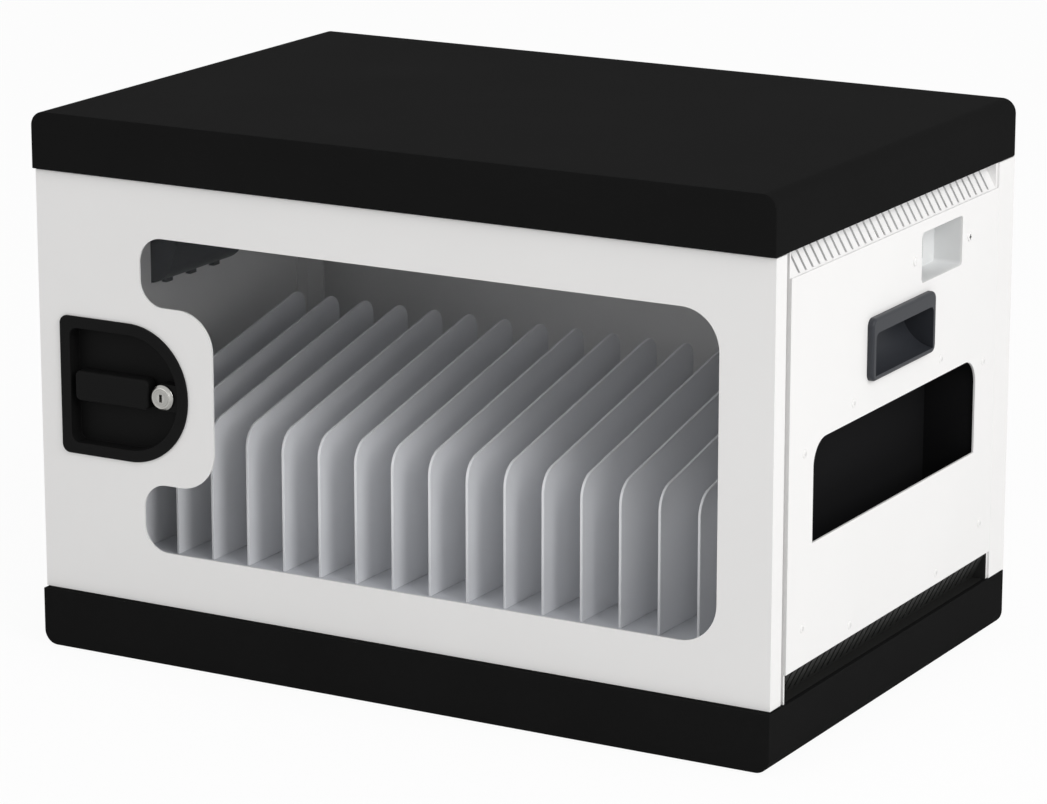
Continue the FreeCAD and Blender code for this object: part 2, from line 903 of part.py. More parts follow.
rails = [make_rail("front_rail", floor_front, 1), make_rail("rear_rail", floor_rear, -1)]
keep(group("floor_rails", rails))

divider_outline = [(divider_front, floor_top)]
for start in tab_starts:
    tab_low = floor_low - d.tab_reach
    divider_outline += [(start, floor_top), (start, tab_low)]
    divider_outline += [(start + d.tab_length, tab_low), (start + d.tab_length, floor_top)]
divider_outline += [
    (divider_rear, floor_top),
    (divider_rear, floor_top + d.divider_rear_height, d.divider_rear_radius),
    (divider_front, floor_top + d.divider_front_height, d.divider_front_radius),
]
for number in range(bay_count + 1):
    divider = keep(new_body(f"divider_{number + 1:02d}"))
    pad(divider, "YZ", [divider_outline], -half_divider, half_divider)
    bind(divider, "Placement.Base.x", first_divider_x + d.bay_spacing * number)


# Charging module: a closed housing behind the dividers, with one port for each bay

module = keep(new_body("charging_module"))
module_front = divider_rear + d.module_gap
module_rear = module_front + d.module_depth
module_half = divider_span / 2 - d.module_end_gap
module_section = [
    (module_front, floor_top),
    (module_rear, floor_top),
    (module_rear, floor_top + d.module_height, d.module_radius),
    (module_front, floor_top + d.module_height, d.module_radius),
]
pad(module, "YZ", [module_section], -module_half, module_half)
first_bay_x = first_divider_x + d.bay_spacing / 2
half_port = d.port_width / 2
port = rectangle(
    first_bay_x - half_port,
    first_bay_x + half_port,
    floor_top + d.port_rise,
    floor_top + d.port_rise + d.port_height,
)
ports = cut(module, "XZ", [port], module_front, module_front + d.port_depth)
repeat(module, ports, "X", d.bay_spacing * (bay_count - 1), bay_count)


# Mains inlet: a recessed box behind the right panel, its appliance socket and the socket's pins

inlet_box = keep(new_body("inlet_box"))
ear_half = inlet_half + d.inlet_ear
wall = d.sheet
flange_low = inlet_z - inlet_half_height - d.inlet_border
flange_high = inlet_z + inlet_half_height + d.inlet_border
ears = rectangle(
    inlet_y - ear_half, inlet_y + ear_half, flange_low, flange_high, d.inlet_radius
)
pad(inlet_box, "YZ", [ears], panel_inside - d.sheet, panel_inside)
shell = rectangle(
    inlet_y - inlet_half - wall,
    inlet_y + inlet_half + wall,
    inlet_z - inlet_half_height - wall,
    inlet_z + inlet_half_height + wall,
    d.inlet_radius + wall,
)
pad(inlet_box, "YZ", [shell], inlet_wall_x - d.sheet, panel_inside)
cut(inlet_box, "YZ", [inlet_mouth], inlet_wall_x, panel_inside)


def about_socket(width, height, radius=None):
    """A rectangle about the middle of the appliance socket."""
    return rectangle(
        socket_y - width / 2,
        socket_y + width / 2,
        inlet_z - height / 2,
        inlet_z + height / 2,
        radius,
    )


socket_body = about_socket(d.socket_body_width, d.socket_body_height)
cut(inlet_box, "YZ", [socket_body], inlet_wall_x - d.sheet, inlet_wall_x)

mains_inlet = keep(new_body("mains_inlet"))
socket_face = inlet_wall_x + d.socket_flange
socket_floor = socket_face - d.socket_depth
flange_outline = about_socket(d.socket_flange_width, d.socket_flange_height, d.inlet_radius)
pad(mains_inlet, "YZ", [flange_outline], inlet_wall_x, socket_face)
pad(mains_inlet, "YZ", [socket_body], inlet_wall_x - d.socket_body_depth, inlet_wall_x)
socket_left = socket_y - d.socket_width / 2
socket_right = socket_y + d.socket_width / 2
socket_low = inlet_z - d.socket_height / 2
socket_high = inlet_z + d.socket_height / 2
socket_mouth = [
    (socket_left, socket_low),
    (socket_right, socket_low),
    (socket_right, socket_high - d.socket_chamfer),
    (socket_right - d.socket_chamfer, socket_high),
    (socket_left + d.socket_chamfer, socket_high),
    (socket_left, socket_high - d.socket_chamfer),
]
cut(mains_inlet, "YZ", [socket_mouth], socket_floor, socket_face)

pins = []
for column, rise in ((-1, -1), (0, 1), (1, -1)):
    pin_y = socket_y + d.pin_spacing * column
    pin_z = inlet_z + d.pin_rise * rise
    low = (socket_floor, pin_y - d.pin_thickness / 2, pin_z - d.pin_height / 2)
    high = (socket_floor + d.pin_length, pin_y + d.pin_thickness / 2, pin_z + d.pin_height / 2)
    pins.append(block(f"inlet_pin_{len(pins) + 1}", low, high))
keep(group("inlet_pins", pins))

inlet_screw_profile = head_profile(d.inlet_screw_radius, half_width, half_width + d.inlet_screw_head)
inlet_screws = []
for side in (-1, 1):
    place = (inlet_y + d.inlet_screw_offset * side, inlet_z)
    inlet_screws.append(turned(f"inlet_screw_{len(inlet_screws) + 1}", "X", inlet_screw_profile, place))
keep(group("inlet_screws", inlet_screws))


# Carrying handles: a rim on the panel, a scooped cup behind it and snap hooks below

right_handle = keep(new_body("right_handle"))
rim = rectangle(-d.handle_width / 2, d.handle_width / 2, handle_low, handle_high, d.handle_radius)
pad(right_handle, "YZ", [rim], half_width, handle_face_x)
round_edges(right_handle, d.handle_edge, lambda edge: lies_on(edge, "X", handle_face_x))
cup_end = handle_face_x - d.handle_depth - d.handle_wall
scoop_x = handle_face_x - d.scoop_depth
scoop_z = opening_low + d.scoop_rise
cup_section = [
    (half_width, cup_low),
    (half_width, cup_high),
    (cup_end, cup_high),
    (cup_end, cavity_high),
    (scoop_x - d.handle_wall, scoop_z - d.handle_wall, d.scoop_back_radius),
]
pad(right_handle, "XZ", [cup_section], -cup_half, cup_half)
for column in (-1, 0, 1):
    snap_y = d.snap_spacing * column
    hook = [
        (snap_y - d.snap_width / 2, cup_low - d.snap_reach),
        (snap_y + d.snap_width / 2, cup_low - d.snap_reach),
        (snap_y + d.snap_width / 2, scoop_z),
        (snap_y - d.snap_width / 2, scoop_z),
    ]
    pad(right_handle, "YZ", [hook], panel_inside - d.play - d.snap_length, panel_inside - d.play)
cavity_half = cup_half - d.handle_wall
cavity_face = handle_face_x + d.overrun
lip_back = handle_face_x - d.handle_lip_thickness
cavity_section = [
    (cavity_face, opening_low),
    (cavity_face, opening_high),
    (lip_back, opening_high),
    (lip_back, cavity_high),
    (handle_face_x - d.handle_depth, cavity_high),
    (scoop_x, scoop_z, d.scoop_radius),
    (handle_face_x, opening_low),
]
cut(right_handle, "XZ", [cavity_section], -cavity_half, cavity_half)


def is_mouth_corner(edge):
    """Whether an edge runs along X under the lip, at an end of the mouth."""
    along_mouth = lies_on(edge, "X", handle_face_x) or lies_on(edge, "X", lip_back)
    return lies_on(edge, "Z", opening_high) and not along_mouth


round_edges(right_handle, d.handle_mouth_radius, is_mouth_corner)
keep(mirrored("left_handle", right_handle))


# Cord pocket: a moulded bin behind the right panel's opening

cord_pocket = keep(new_body("cord_pocket"))
bin_half = pocket_half + d.pocket_relief
bin_high = pocket_high + d.pocket_relief
bin_low = pocket_flange_low + d.pocket_floor_rise
pocket_flange = rectangle(
    -pocket_flange_half, pocket_flange_half, pocket_flange_low, pocket_flange_high, d.pocket_inner_radius
)
pad(cord_pocket, "YZ", [pocket_flange], panel_inside - d.pocket_wall, panel_inside)
bin_outside = rectangle(
    -bin_half - d.pocket_wall,
    bin_half + d.pocket_wall,
    bin_low - d.pocket_wall,
    bin_high + d.pocket_wall,
    d.pocket_inner_radius + d.pocket_wall,
)
bin_end = panel_inside - d.pocket_depth
pad(cord_pocket, "YZ", [bin_outside], bin_end - d.pocket_wall, panel_inside)
bin_inside = rectangle(-bin_half, bin_half, bin_low, bin_high, d.pocket_inner_radius)
cut(cord_pocket, "YZ", [bin_inside], bin_end, panel_inside)

pocket_rivet_y = pocket_flange_half - d.pocket_rivet_edge
inner_rivet_y = pocket_half - d.pocket_rivet_inset
pocket_rivet_places = []
for side in (-1, 1):
    pocket_rivet_places.append((pocket_rivet_y * side, pocket_high - d.pocket_rivet_upper))
    pocket_rivet_places.append((pocket_rivet_y * side, pocket_low - d.pocket_rivet_lower))
    pocket_rivet_places.append((inner_rivet_y * side, pocket_flange_high - d.pocket_rivet_top))
    pocket_rivet_places.append((inner_rivet_y * side, pocket_flange_low + d.pocket_rivet_end))
pocket_rivet_profile = head_profile(d.pocket_rivet_radius, half_width, half_width + d.pocket_rivet_head)
pocket_rivets = [
    turned(f"pocket_rivet_{number}", "X", pocket_rivet_profile, place)
    for number, place in enumerate(pocket_rivet_places, 1)
]
keep(group("pocket_rivets", pocket_rivets))


# Door: a folded pan with inward lips, the window and the lock's cut-out


def nose_outline(margin):
    """The lock plate's outline, square on the left and round on the right, drawn in by a margin."""
    low = middle_z - d.lock_plate_height / 2 + margin
    high = middle_z + d.lock_plate_height / 2 - margin
    nose = (d.lock_plate_height / 2 - margin) * LOCK_NOSE_SHARE
    return [
        (lock_left + margin, low, d.lock_plate_radius),
        (lock_right - margin, low, nose),
        (lock_right - margin, high, nose),
        (lock_left + margin, high, d.lock_plate_radius),
    ]


def window_outline(margin):
    """The window's outline with its tab round the lock, grown by a margin and given sharp corners."""
    return [
        (window_left - margin, window_low - margin),
        (window_right + margin, window_low - margin),
        (window_right + margin, window_high + margin),
        (window_left - margin, window_high + margin),
        (window_left - margin, middle_z + tab_half_height - margin),
        (tab_right - margin, middle_z + tab_half_height - margin),
        (tab_right - margin, middle_z - tab_half_height + margin),
        (window_left - margin, middle_z - tab_half_height + margin),
    ]


window_radii = [
    d.window_lobe_radius,
    d.window_radius,
    d.window_radius,
    d.window_lobe_radius,
    d.window_lobe_radius,
    d.window_radius,
    d.window_radius,
    d.window_lobe_radius,
]
window = [(x, y, radius) for (x, y), radius in zip(window_outline(ZERO), window_radii)]

door_panel = keep(new_body("door_panel"))
pad(door_panel, "XZ", [rectangle(door_left, door_right, door_low, door_high)], door_front, door_back)
door_room = rectangle(door_left + d.sheet, door_right - d.sheet, door_low + d.sheet, door_high - d.sheet)
cut(door_panel, "XZ", [door_room], door_inside, door_lip_front)
door_mouth = rectangle(
    door_left + d.door_lip, door_right - d.door_lip, door_low + d.door_lip, door_high - d.door_lip
)
cut(door_panel, "XZ", [door_mouth], door_lip_front, door_back)
lock_body_margin = d.lock_rim - d.dish_wall
lock_hole = nose_outline(lock_body_margin - d.play)
cut(door_panel, "XZ", [window, lock_hole], door_front, door_inside)
hinge_hole = disc(hinge_x, hinge_y, d.hinge_pin_radius + d.hinge_hole_gap)
cut(door_panel, "XY", [hinge_hole], door_low, door_low + d.sheet)
cut(door_panel, "XY", [hinge_hole], door_high - d.sheet, door_high)

pane = keep(new_body("window_pane"))
pane_back = door_inside + d.pane_thickness
pad(pane, "XZ", [window_outline(d.pane_overlap)], door_inside, pane_back)

pane_left = window_left - d.pane_overlap
pane_right = window_right + d.pane_overlap
pane_low = window_low - d.pane_overlap
pane_high = window_high + d.pane_overlap
clip_back = pane_back + d.clip_sheet


def make_clip(label, edge, outward, along, upright):
    """A bent clip that holds one edge of the pane against the door's skin."""
    half_clip = d.clip_width / 2
    foot = ordered(edge, edge + d.clip_sheet * outward)
    finger = ordered(edge - d.clip_reach * outward, edge + d.clip_sheet * outward)
    side = (along - half_clip, along + half_clip)

    def corners(reach, y_low, y_high):
        x_span, z_span = (side, reach) if upright else (reach, side)
        return (x_span[0], y_low, z_span[0]), (x_span[1], y_high, z_span[1])

    pieces = [
        block(f"{label}_foot", *corners(foot, door_inside, clip_back)),
        block(f"{label}_finger", *corners(finger, pane_back, clip_back)),
    ]
    return joined(label, pieces)


pane_middle = (pane_left + pane_right) / 2
pane_third = (pane_right - pane_left) / 3
clips = []
for column in (-1, 0, 1):
    clip_x = pane_middle + pane_third * column
    clips.append(make_clip(f"pane_clip_{len(clips)}", pane_low, -1, clip_x, True))
    clips.append(make_clip(f"pane_clip_{len(clips)}", pane_high, 1, clip_x, True))
for row in (-1, 1):
    clip_z = middle_z + pane_third / 2 * row
    clips.append(make_clip(f"pane_clip_{len(clips)}", pane_right, 1, clip_z, False))
keep(group("pane_clips", clips))


# Hinge: studs on the base plate and roof plate, blocks in the door, a washer and two bumpers

pin_profiles = {
    "lower": cylinder_profile(d.hinge_pin_radius, base_top, base_top + d.hinge_pin_length),
    "upper": cylinder_profile(d.hinge_pin_radius, cover_low - d.hinge_pin_length, cover_low),
}
hinge_pins = [
    turned(f"{name}_hinge_pin", "Z", profile, (hinge_x, hinge_y)) for name, profile in pin_profiles.items()
]
keep(group("hinge_pins", hinge_pins))
washer_bore = d.hinge_pin_radius + d.hinge_pin_fit
washer_profile = [
    (washer_bore, base_top),
    (d.hinge_washer_radius, base_top),
    (d.hinge_washer_radius, base_top + d.hinge_washer),
    (washer_bore, base_top + d.hinge_washer),
]
keep(turned("hinge_washer", "Z", washer_profile, (hinge_x, hinge_y)))


def make_hinge_block(label, span, bore_span):
    """A block that fills the door's corner and turns on a stud."""
    body = new_body(label)
    half_block = d.hinge_block_width / 2
    section = rectangle(hinge_x - half_block, hinge_x + half_block, door_inside, door_lip_front)
    pad(body, "XY", [section], *span)
    cut(body, "XY", [disc(hinge_x, hinge_y, washer_bore)], *bore_span)
    return body


lower_block_low = door_low + d.sheet
upper_block_high = door_high - d.sheet
lower_bore_end = base_top + d.hinge_pin_length + d.hinge_hole_gap
upper_bore_end = cover_low - d.hinge_pin_length - d.hinge_hole_gap
hinge_blocks = [
    make_hinge_block(
        "lower_hinge_block",
        (lower_block_low, lower_block_low + d.hinge_block_height),
        (lower_block_low, lower_bore_end),
    ),
    make_hinge_block(
        "upper_hinge_block",
        (upper_block_high - d.hinge_block_height, upper_block_high),
        (upper_bore_end, upper_block_high),
    ),
]
keep(group("hinge_blocks", hinge_blocks))

bumper_x = door_left + d.door_lip / 2 + d.sheet / 2
bumper_profile = head_profile(d.bumper_radius, carcass_front, door_back + d.play)
bumper_heights = (base_top + d.bumper_inset, cover_low - d.bumper_inset)
bumpers = [
    turned(f"door_bumper_{number}", "Y", bumper_profile, (bumper_x, level))
    for number, level in enumerate(bumper_heights, 1)
]
keep(group("door_bumpers", bumpers))


# Lock housing: a plate on the door with a recessed dish and a boss for the key barrel

lock_housing = keep(new_body("lock_housing"))
pad(lock_housing, "XZ", [nose_outline(ZERO)], lock_front, door_front)
pad(lock_housing, "XZ", [nose_outline(lock_body_margin)], door_front, dish_back)
cut(lock_housing, "XZ", [nose_outline(d.lock_rim)], lock_front, dish_floor_front)
boss = disc(barrel_x, middle_z, d.barrel_boss_radius)
pad(lock_housing, "XZ", [boss], barrel_seat_y, dish_floor_front)
boss_web = rectangle(
    barrel_x, lock_right - d.lock_rim, middle_z - d.barrel_boss_radius, middle_z + d.barrel_boss_radius
)
pad(lock_housing, "XZ", [boss_web], barrel_seat_y, dish_floor_front)
cut(lock_housing, "XZ", [disc(barrel_x, middle_z, d.barrel_radius)], barrel_seat_y, dish_back)
spindle_bore = disc(bar_x, middle_z, d.spindle_radius + d.running_fit)
cut(lock_housing, "XZ", [spindle_bore], dish_floor_front, dish_back)


# Turn handle: a bar on a spindle, with a cam whose arm passes behind the left post


def square(x, side):
    """A square loop on the lock's level."""
    return rectangle(x - side / 2, x + side / 2, middle_z - side / 2, middle_z + side / 2)


latch_bar = keep(new_body("latch_bar"))
bar_back = lock_front + d.bar_thickness
half_bar = d.bar_length / 2
half_bar_height = d.bar_height / 2
bar_outline = rectangle(
    bar_x - half_bar, bar_x + half_bar, middle_z - half_bar_height, middle_z + half_bar_height, d.bar_radius
)
pad(latch_bar, "XZ", [bar_outline], lock_front, bar_back)
round_edges(latch_bar, d.bar_edge, lambda edge: lies_on(edge, "Y", lock_front))
hub_back = dish_floor_front - d.hub_gap
pad(latch_bar, "XZ", [disc(bar_x, middle_z, d.hub_radius)], bar_back, hub_back)
pad(latch_bar, "XZ", [disc(bar_x, middle_z, d.spindle_radius)], hub_back, cam_front)
pad(latch_bar, "XZ", [square(bar_x, d.spindle_square)], cam_front, cam_back)

latch_cam = keep(new_body("latch_cam"))
arm_length = bar_x + post_end + d.latch_bite
half_arm = d.cam_arm_width / 2
arm_outline = [
    (bar_x - half_arm, middle_z - arm_length, half_arm * ROUND_END_SHARE),
    (bar_x + half_arm, middle_z - arm_length, half_arm * ROUND_END_SHARE),
    (bar_x + half_arm, middle_z),
    (bar_x - half_arm, middle_z),
]
pad(latch_cam, "XZ", [disc(bar_x, middle_z, d.cam_radius)], cam_front, cam_back)
pad(latch_cam, "XZ", [arm_outline], cam_front, cam_back)
lock_reach = barrel_x - bar_x
scoop_reach = d.tongue_length + d.tongue_gap
cut(latch_cam, "XZ", [disc(barrel_x, middle_z, scoop_reach)], cam_front, cam_back)
cut(latch_cam, "XZ", [disc(bar_x, middle_z + lock_reach, scoop_reach)], cam_front, cam_back)
cut(latch_cam, "XZ", [square(bar_x, d.spindle_square)], cam_front, cam_back)

latch_screw_profile = head_profile(d.latch_screw_radius, cam_back, cam_back + d.latch_screw_head)
keep(turned("latch_screw", "Y", latch_screw_profile, (bar_x, middle_z)))


# Key lock: a barrel through the housing, its plug and the tongue that holds the cam

barrel_profile = [
    (d.plug_radius + d.running_fit, barrel_face_y),
    (d.barrel_face_radius, barrel_face_y),
    (d.barrel_head_radius, barrel_face_y + d.barrel_bevel),
    (d.barrel_head_radius, barrel_seat_y),
    (d.barrel_radius, barrel_seat_y),
    (d.barrel_radius, barrel_tail_y),
    (d.plug_radius + d.running_fit, barrel_tail_y),
]
keep(turned("lock_barrel", "Y", barrel_profile, (barrel_x, middle_z)))

barrel_nut = keep(new_body("barrel_nut"))
nut_corners = []
for corner in range(6):
    turn = math.pi / 3 * corner
    nut_x = barrel_x + d.barrel_nut_radius * math.cos(turn)
    nut_corners.append((nut_x, middle_z + d.barrel_nut_radius * math.sin(turn)))
nut_bore = disc(barrel_x, middle_z, d.barrel_radius)
pad(barrel_nut, "XZ", [nut_corners, nut_bore], dish_back, dish_back + d.barrel_nut)

lock_plug = keep(new_body("lock_plug"))
pad(lock_plug, "XZ", [disc(barrel_x, middle_z, d.plug_radius)], barrel_face_y, cam_front)
pad(lock_plug, "XZ", [square(barrel_x, d.plug_square)], cam_front, cam_back)
half_slot = d.key_slot_width / 2
half_slot_height = d.key_slot_height / 2
key_slot = rectangle(
    barrel_x - half_slot, barrel_x + half_slot, middle_z - half_slot_height, middle_z + half_slot_height
)
cut(lock_plug, "XZ", [key_slot], barrel_face_y, barrel_face_y + d.key_slot_depth)

lock_tongue = keep(new_body("lock_tongue"))
half_tongue = d.tongue_width / 2
tongue_end = half_tongue * ROUND_END_SHARE
tongue_outline = rectangle(
    barrel_x - half_tongue,
    barrel_x + half_tongue,
    middle_z - d.tongue_length,
    middle_z + half_tongue,
    tongue_end,
)
pad(lock_tongue, "XZ", [tongue_outline, square(barrel_x, d.plug_square)], cam_front, cam_back)

tongue_screw_profile = head_profile(d.tongue_screw_radius, cam_back, cam_back + d.tongue_screw_head)
keep(turned("tongue_screw", "Y", tongue_screw_profile, (barrel_x, middle_z)))


# Check and write every piece

doc.recompute()
for thing in doc.Objects:
    if "Invalid" in thing.State or "Error" in thing.State:
        raise RuntimeError(f"{thing.Label} failed: {thing.State}")
for node in nodes:
    if node.Shape.isNull() or not node.Shape.isValid():
        raise RuntimeError(f"{node.Label} has no valid shape")
os.makedirs("parts", exist_ok=True)
for node in nodes:
    node.Shape.exportStep(f"parts/{node.Label}.step")
    print(node.Label, len(node.Shape.Solids), round(node.Shape.Volume))
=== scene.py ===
"""Finishes a table-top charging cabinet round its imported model. Metres, +Y to the back, +Z up."""

import json
import math

import bmesh
import bpy
from bpy.props import FloatProperty, FloatVectorProperty, PointerProperty
from mathutils import Matrix, Vector


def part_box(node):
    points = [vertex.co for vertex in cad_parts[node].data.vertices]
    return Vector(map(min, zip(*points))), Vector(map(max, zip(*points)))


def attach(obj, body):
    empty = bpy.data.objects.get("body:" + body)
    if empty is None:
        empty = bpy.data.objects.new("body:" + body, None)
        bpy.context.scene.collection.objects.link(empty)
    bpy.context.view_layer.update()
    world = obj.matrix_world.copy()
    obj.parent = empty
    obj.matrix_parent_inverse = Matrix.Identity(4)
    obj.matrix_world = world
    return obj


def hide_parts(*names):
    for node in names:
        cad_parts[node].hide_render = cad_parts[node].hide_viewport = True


bl_info = {
    "name": "Charging cabinet",
    "version": (1, 0, 0),
    "blender": (4, 5, 0),
    "location": "View3D > Sidebar > Cabinet",
    "description": "Finishes a table-top charging cabinet round its packed model",
    "category": "Object",
}

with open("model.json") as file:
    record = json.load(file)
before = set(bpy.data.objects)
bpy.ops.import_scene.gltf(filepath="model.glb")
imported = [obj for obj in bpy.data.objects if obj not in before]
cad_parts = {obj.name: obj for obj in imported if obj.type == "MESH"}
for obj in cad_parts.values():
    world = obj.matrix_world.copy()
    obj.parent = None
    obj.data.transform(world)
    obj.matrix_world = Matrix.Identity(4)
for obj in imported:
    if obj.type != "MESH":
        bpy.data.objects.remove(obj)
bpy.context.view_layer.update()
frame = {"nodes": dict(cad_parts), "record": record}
MM = 0.001
MERGE = 1e-6
SORT_DIGITS = 5
FLAT_ANGLE = math.radians(0.5)
SHARP_ANGLE = math.radians(40)
NODES = frame["nodes"]
DIVIDERS = sorted(name for name in NODES if name.startswith("divider_"))

# Shares of a screw head's radius or height: the cross recess, and the pan from its flat down to its seat.
SLOT_SHARE = 0.14
ARM_SHARE = 0.52
RECESS_SHARE = 0.55
RECESS_TAPER = 0.6
PAN_SHARES = ((0.78, 1), (0.93, 0.82), (1, 0.5), (1, 0))
PAN_SIDES = 24

# Shares of a rivet head's radius and height: the dimple that the pulled stem leaves in the dome.
DIMPLE_SHARES = ((0.3, 0.96), (0.24, 0.7), (0, 0.7))
DOME_STEPS = 6

# Shares of a foot's radius: the middles of its rings, half their flats and roots, its sole and its neck.
RING_SHARES = (0.3, 0.55, 0.8)
RING_FLAT = 0.05
RING_ROOT = 0.08
SOLE_SHARE = 0.94
NECK_SHARE = 0.98
FOOT_SIDES = 40

# Shares of a port liner's width, depth and height: its mouth's depth, and its tongue's size and lift.
MOUTH_SHARE = 0.85
TONGUE_SHARES = (0.8, 0.7, 0.3)
TONGUE_LIFT = 0.12
LENS_SIDES = 16

# Patterns of the finishes: sizes, reliefs, and the darkest and lightest share of the colour.
PEEL = 2 * MM
PEEL_RELIEF = 0.05 * MM
PAINT_CLOUD = 140 * MM
PAINT_TONES = (0.965, 1.02)
ABS_CLOUD = 90 * MM
ABS_TONES = (0.86, 1.14)
PLATE_PATCH = 3 * MM
PLATE_TONES = (0.88, 1.08)
TOOL_MARK = 0.7 * MM
TURNED_TONES = (0.9, 1.05)
DUST = 4 * MM
DUST_RELIEF = 0.1 * MM
RUBBER_TONES = (0.8, 1.5)
FILM = 60 * MM
MILK = 1.5 * MM
LENS_TONES = (0.9, 1.05)
POLYCARBONATE_IOR = 1.58

# How far the roughness of a finish swings each way.
SATIN_SWING = 0.06
SHEEN_SWING = 0.07
PLATE_SWING = 0.085

# Sockets of a Mix node that mixes colours, and the Wave node's own factor on its scale.
MIX_FACTOR, MIX_A, MIX_B, MIX_RESULT = 0, 6, 7, 2
WAVE_FACTOR = 20

# The floor's half width and grey, and the share of it that the camera sees as plain white.
FLOOR_HALF = 30
FLOOR_GREY = (0.9, 0.9, 0.9, 1)
FLOOR_WHITE = 0.94
CLIP_END = 100


def linear(code):
    """Turn an sRGB hex colour to linear values."""
    parts = [int(code[start:start + 2], 16) / 255 for start in (0, 2, 4)]
    return tuple(part / 12.92 if part <= 0.04045 else ((part + 0.055) / 1.055) ** 2.4 for part in parts)


def colour(name, description, code):
    """A colour that a user may change."""
    return FloatVectorProperty(
        name=name, description=description, subtype="COLOR", size=3, min=0, max=1, default=linear(code)
    )


def length(name, description, millimetres):
    """A length that a user may change."""
    return FloatProperty(
        name=name, description=description, unit="LENGTH", min=0, precision=4, default=millimetres * MM
    )


def point(name, description, metres):
    """A place that a user may change."""
    return FloatVectorProperty(
        name=name, description=description, subtype="XYZ", unit="LENGTH", default=metres
    )


def turn(name, description, degrees):
    """An angle that a user may change."""
    return FloatProperty(name=name, description=description, subtype="ANGLE", default=math.radians(degrees))


def strength(name, description, value):
    """A strength that a user may change."""
    return FloatProperty(name=name, description=description, min=0, default=value)


class CabinetColours(bpy.types.PropertyGroup):
    """Colours of the cabinet's finishes."""

    panel_paint: colour("Panel paint", "Powder coat of the side, back and door sheets", "EFEEED")
    inner_paint: colour("Inner paint", "Powder coat of the floor and roof inside", "D2D4D9")
    divider_paint: colour("Divider paint", "Powder coat of the dividers", "F4F5F8")
    inlet_paint: colour("Inlet paint", "Powder coat of the inlet box", "E3E4E4")
    # On the lower vents this black is painted shade: those strips are the same sheet as the upper ones and
    # face down into shade.
    base_black_and_vent_shade: colour("Base paint", "Powder coat of the base plate and the lower vents", "262625")
    cap_black: colour("Cap black", "Moulded base tray and top cover", "191919")
    lock_black: colour("Lock black", "Moulded lock housing and turn handle", "161616")
    handle_charcoal: colour("Handle charcoal", "Moulded carrying handles", "303237")
    pocket_black: colour("Pocket black", "Moulded cord pocket", "1A1A1B")
    module_grey: colour("Module grey", "Moulded charging module", "3A3B3E")
    rubber_black: colour("Rubber black", "Feet and door bumpers", "181818")
    pane_tint: colour("Pane tint", "Clear window sheet", "E8ECEE")
    nickel: colour("Nickel", "Plated key barrel and plug", "C4C3BF")
    zinc: colour("Zinc", "Plated fasteners, cams and clips", "B4B5B4")
    brass: colour("Brass", "Blades of the mains inlet", "CDB277")
    lamp_white: colour("Lamp lens", "Unlit indicator lenses", "C9D6C8")


class CabinetSizes(bpy.types.PropertyGroup):
    """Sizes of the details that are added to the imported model."""

    sheet_edge: length("Sheet edge", "Softening of folded and cut sheet edges", 0.35)
    cap_edge: length("Cap edge", "Softening of the tray's and cover's edges", 1.2)
    moulding_edge: length("Moulding edge", "Softening of small mouldings", 0.6)
    metal_edge: length("Metal edge", "Softening of turned and stamped metal", 0.25)
    pane_gap: length("Pane gap", "How far the window's faces are drawn in from the door", 0.03)
    inlet_head: length("Inlet screw head", "Height of the inlet screws' heads", 1)
    case_head: length("Case screw head", "Height of the tray's and cover's screw heads", 2.4)
    case_shank: length("Case screw shank", "Radius of the tray's and cover's screws", 2)
    latch_head: length("Latch screw head", "Height of the latch screw's head", 3)
    tongue_head: length("Tongue screw head", "Height of the tongue screw's head", 2.5)
    foot_groove: length("Foot groove", "Depth of the rings under the feet", 0.8)
    foot_neck: length("Foot neck", "Height of the rounding at the top of the feet", 0.2)
    port_rise: length("Port rise", "From the floor shelf up to the middle of the ports", 32.3)
    port_width: length("Port width", "Width of a charging port's liner", 12.2)
    port_height: length("Port height", "Height of a charging port's liner", 4.2)
    port_depth: length("Port depth", "Depth of a charging port's liner", 5.6)
    port_wall: length("Port wall", "Wall of a charging port's liner", 0.4)
    port_setback: length("Port setback", "From the module's face back to a port's liner", 0.1)
    port_edge: length("Port edge", "Softening of the ports' tongues", 0.15)
    lamp_radius: length("Lamp radius", "Radius of an indicator lens", 1.6)
    lamp_rise: length("Lamp rise", "From a port's middle up to its indicator lens", 8)
    lamp_height: length("Lamp height", "How far an indicator lens stands out", 0.6)
    lamp_root: length("Lamp root", "How far an indicator lens is let in", 0.3)


class CabinetStage(bpy.types.PropertyGroup):
    """Camera and light round the cabinet."""

    lens: FloatProperty(name="Lens", description="Focal length", unit="CAMERA", default=151.31)
    azimuth: turn("Azimuth", "Turn of the camera", 29.567)
    elevation: turn("Elevation", "Downward tilt of the camera", 14.608)
    place: point("Place", "Place of the camera", (1.4463, -2.5540, 0.9334))
    aim: point("Aim", "Point that the lamps face", (0, 0, 0.19))
    key_place: point("Key place", "Place of the light on the right side", (3.4, -0.9, 2.2))
    fill_place: point("Fill place", "Place of the light on the door", (-1.2, -3.4, 1.8))
    lamp_size: length("Lamp size", "Width of the lamps", 2600)
    sky: strength("Sky", "Strength of the even light", 0.68)
    key: strength("Key", "Power of the light on the right side", 85)
    fill: strength("Fill", "Power of the light on the door", 17)


# Mesh helpers


def piece_from(mesh, name, body, material):
    """Make a finished bmesh an object that rides on a body."""
    data = bpy.data.meshes.new(name)
    mesh.to_mesh(data)
    mesh.free()
    piece = bpy.data.objects.new(name, data)
    bpy.context.scene.collection.objects.link(piece)
    data.materials.append(material)
    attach(piece, body)
    return piece


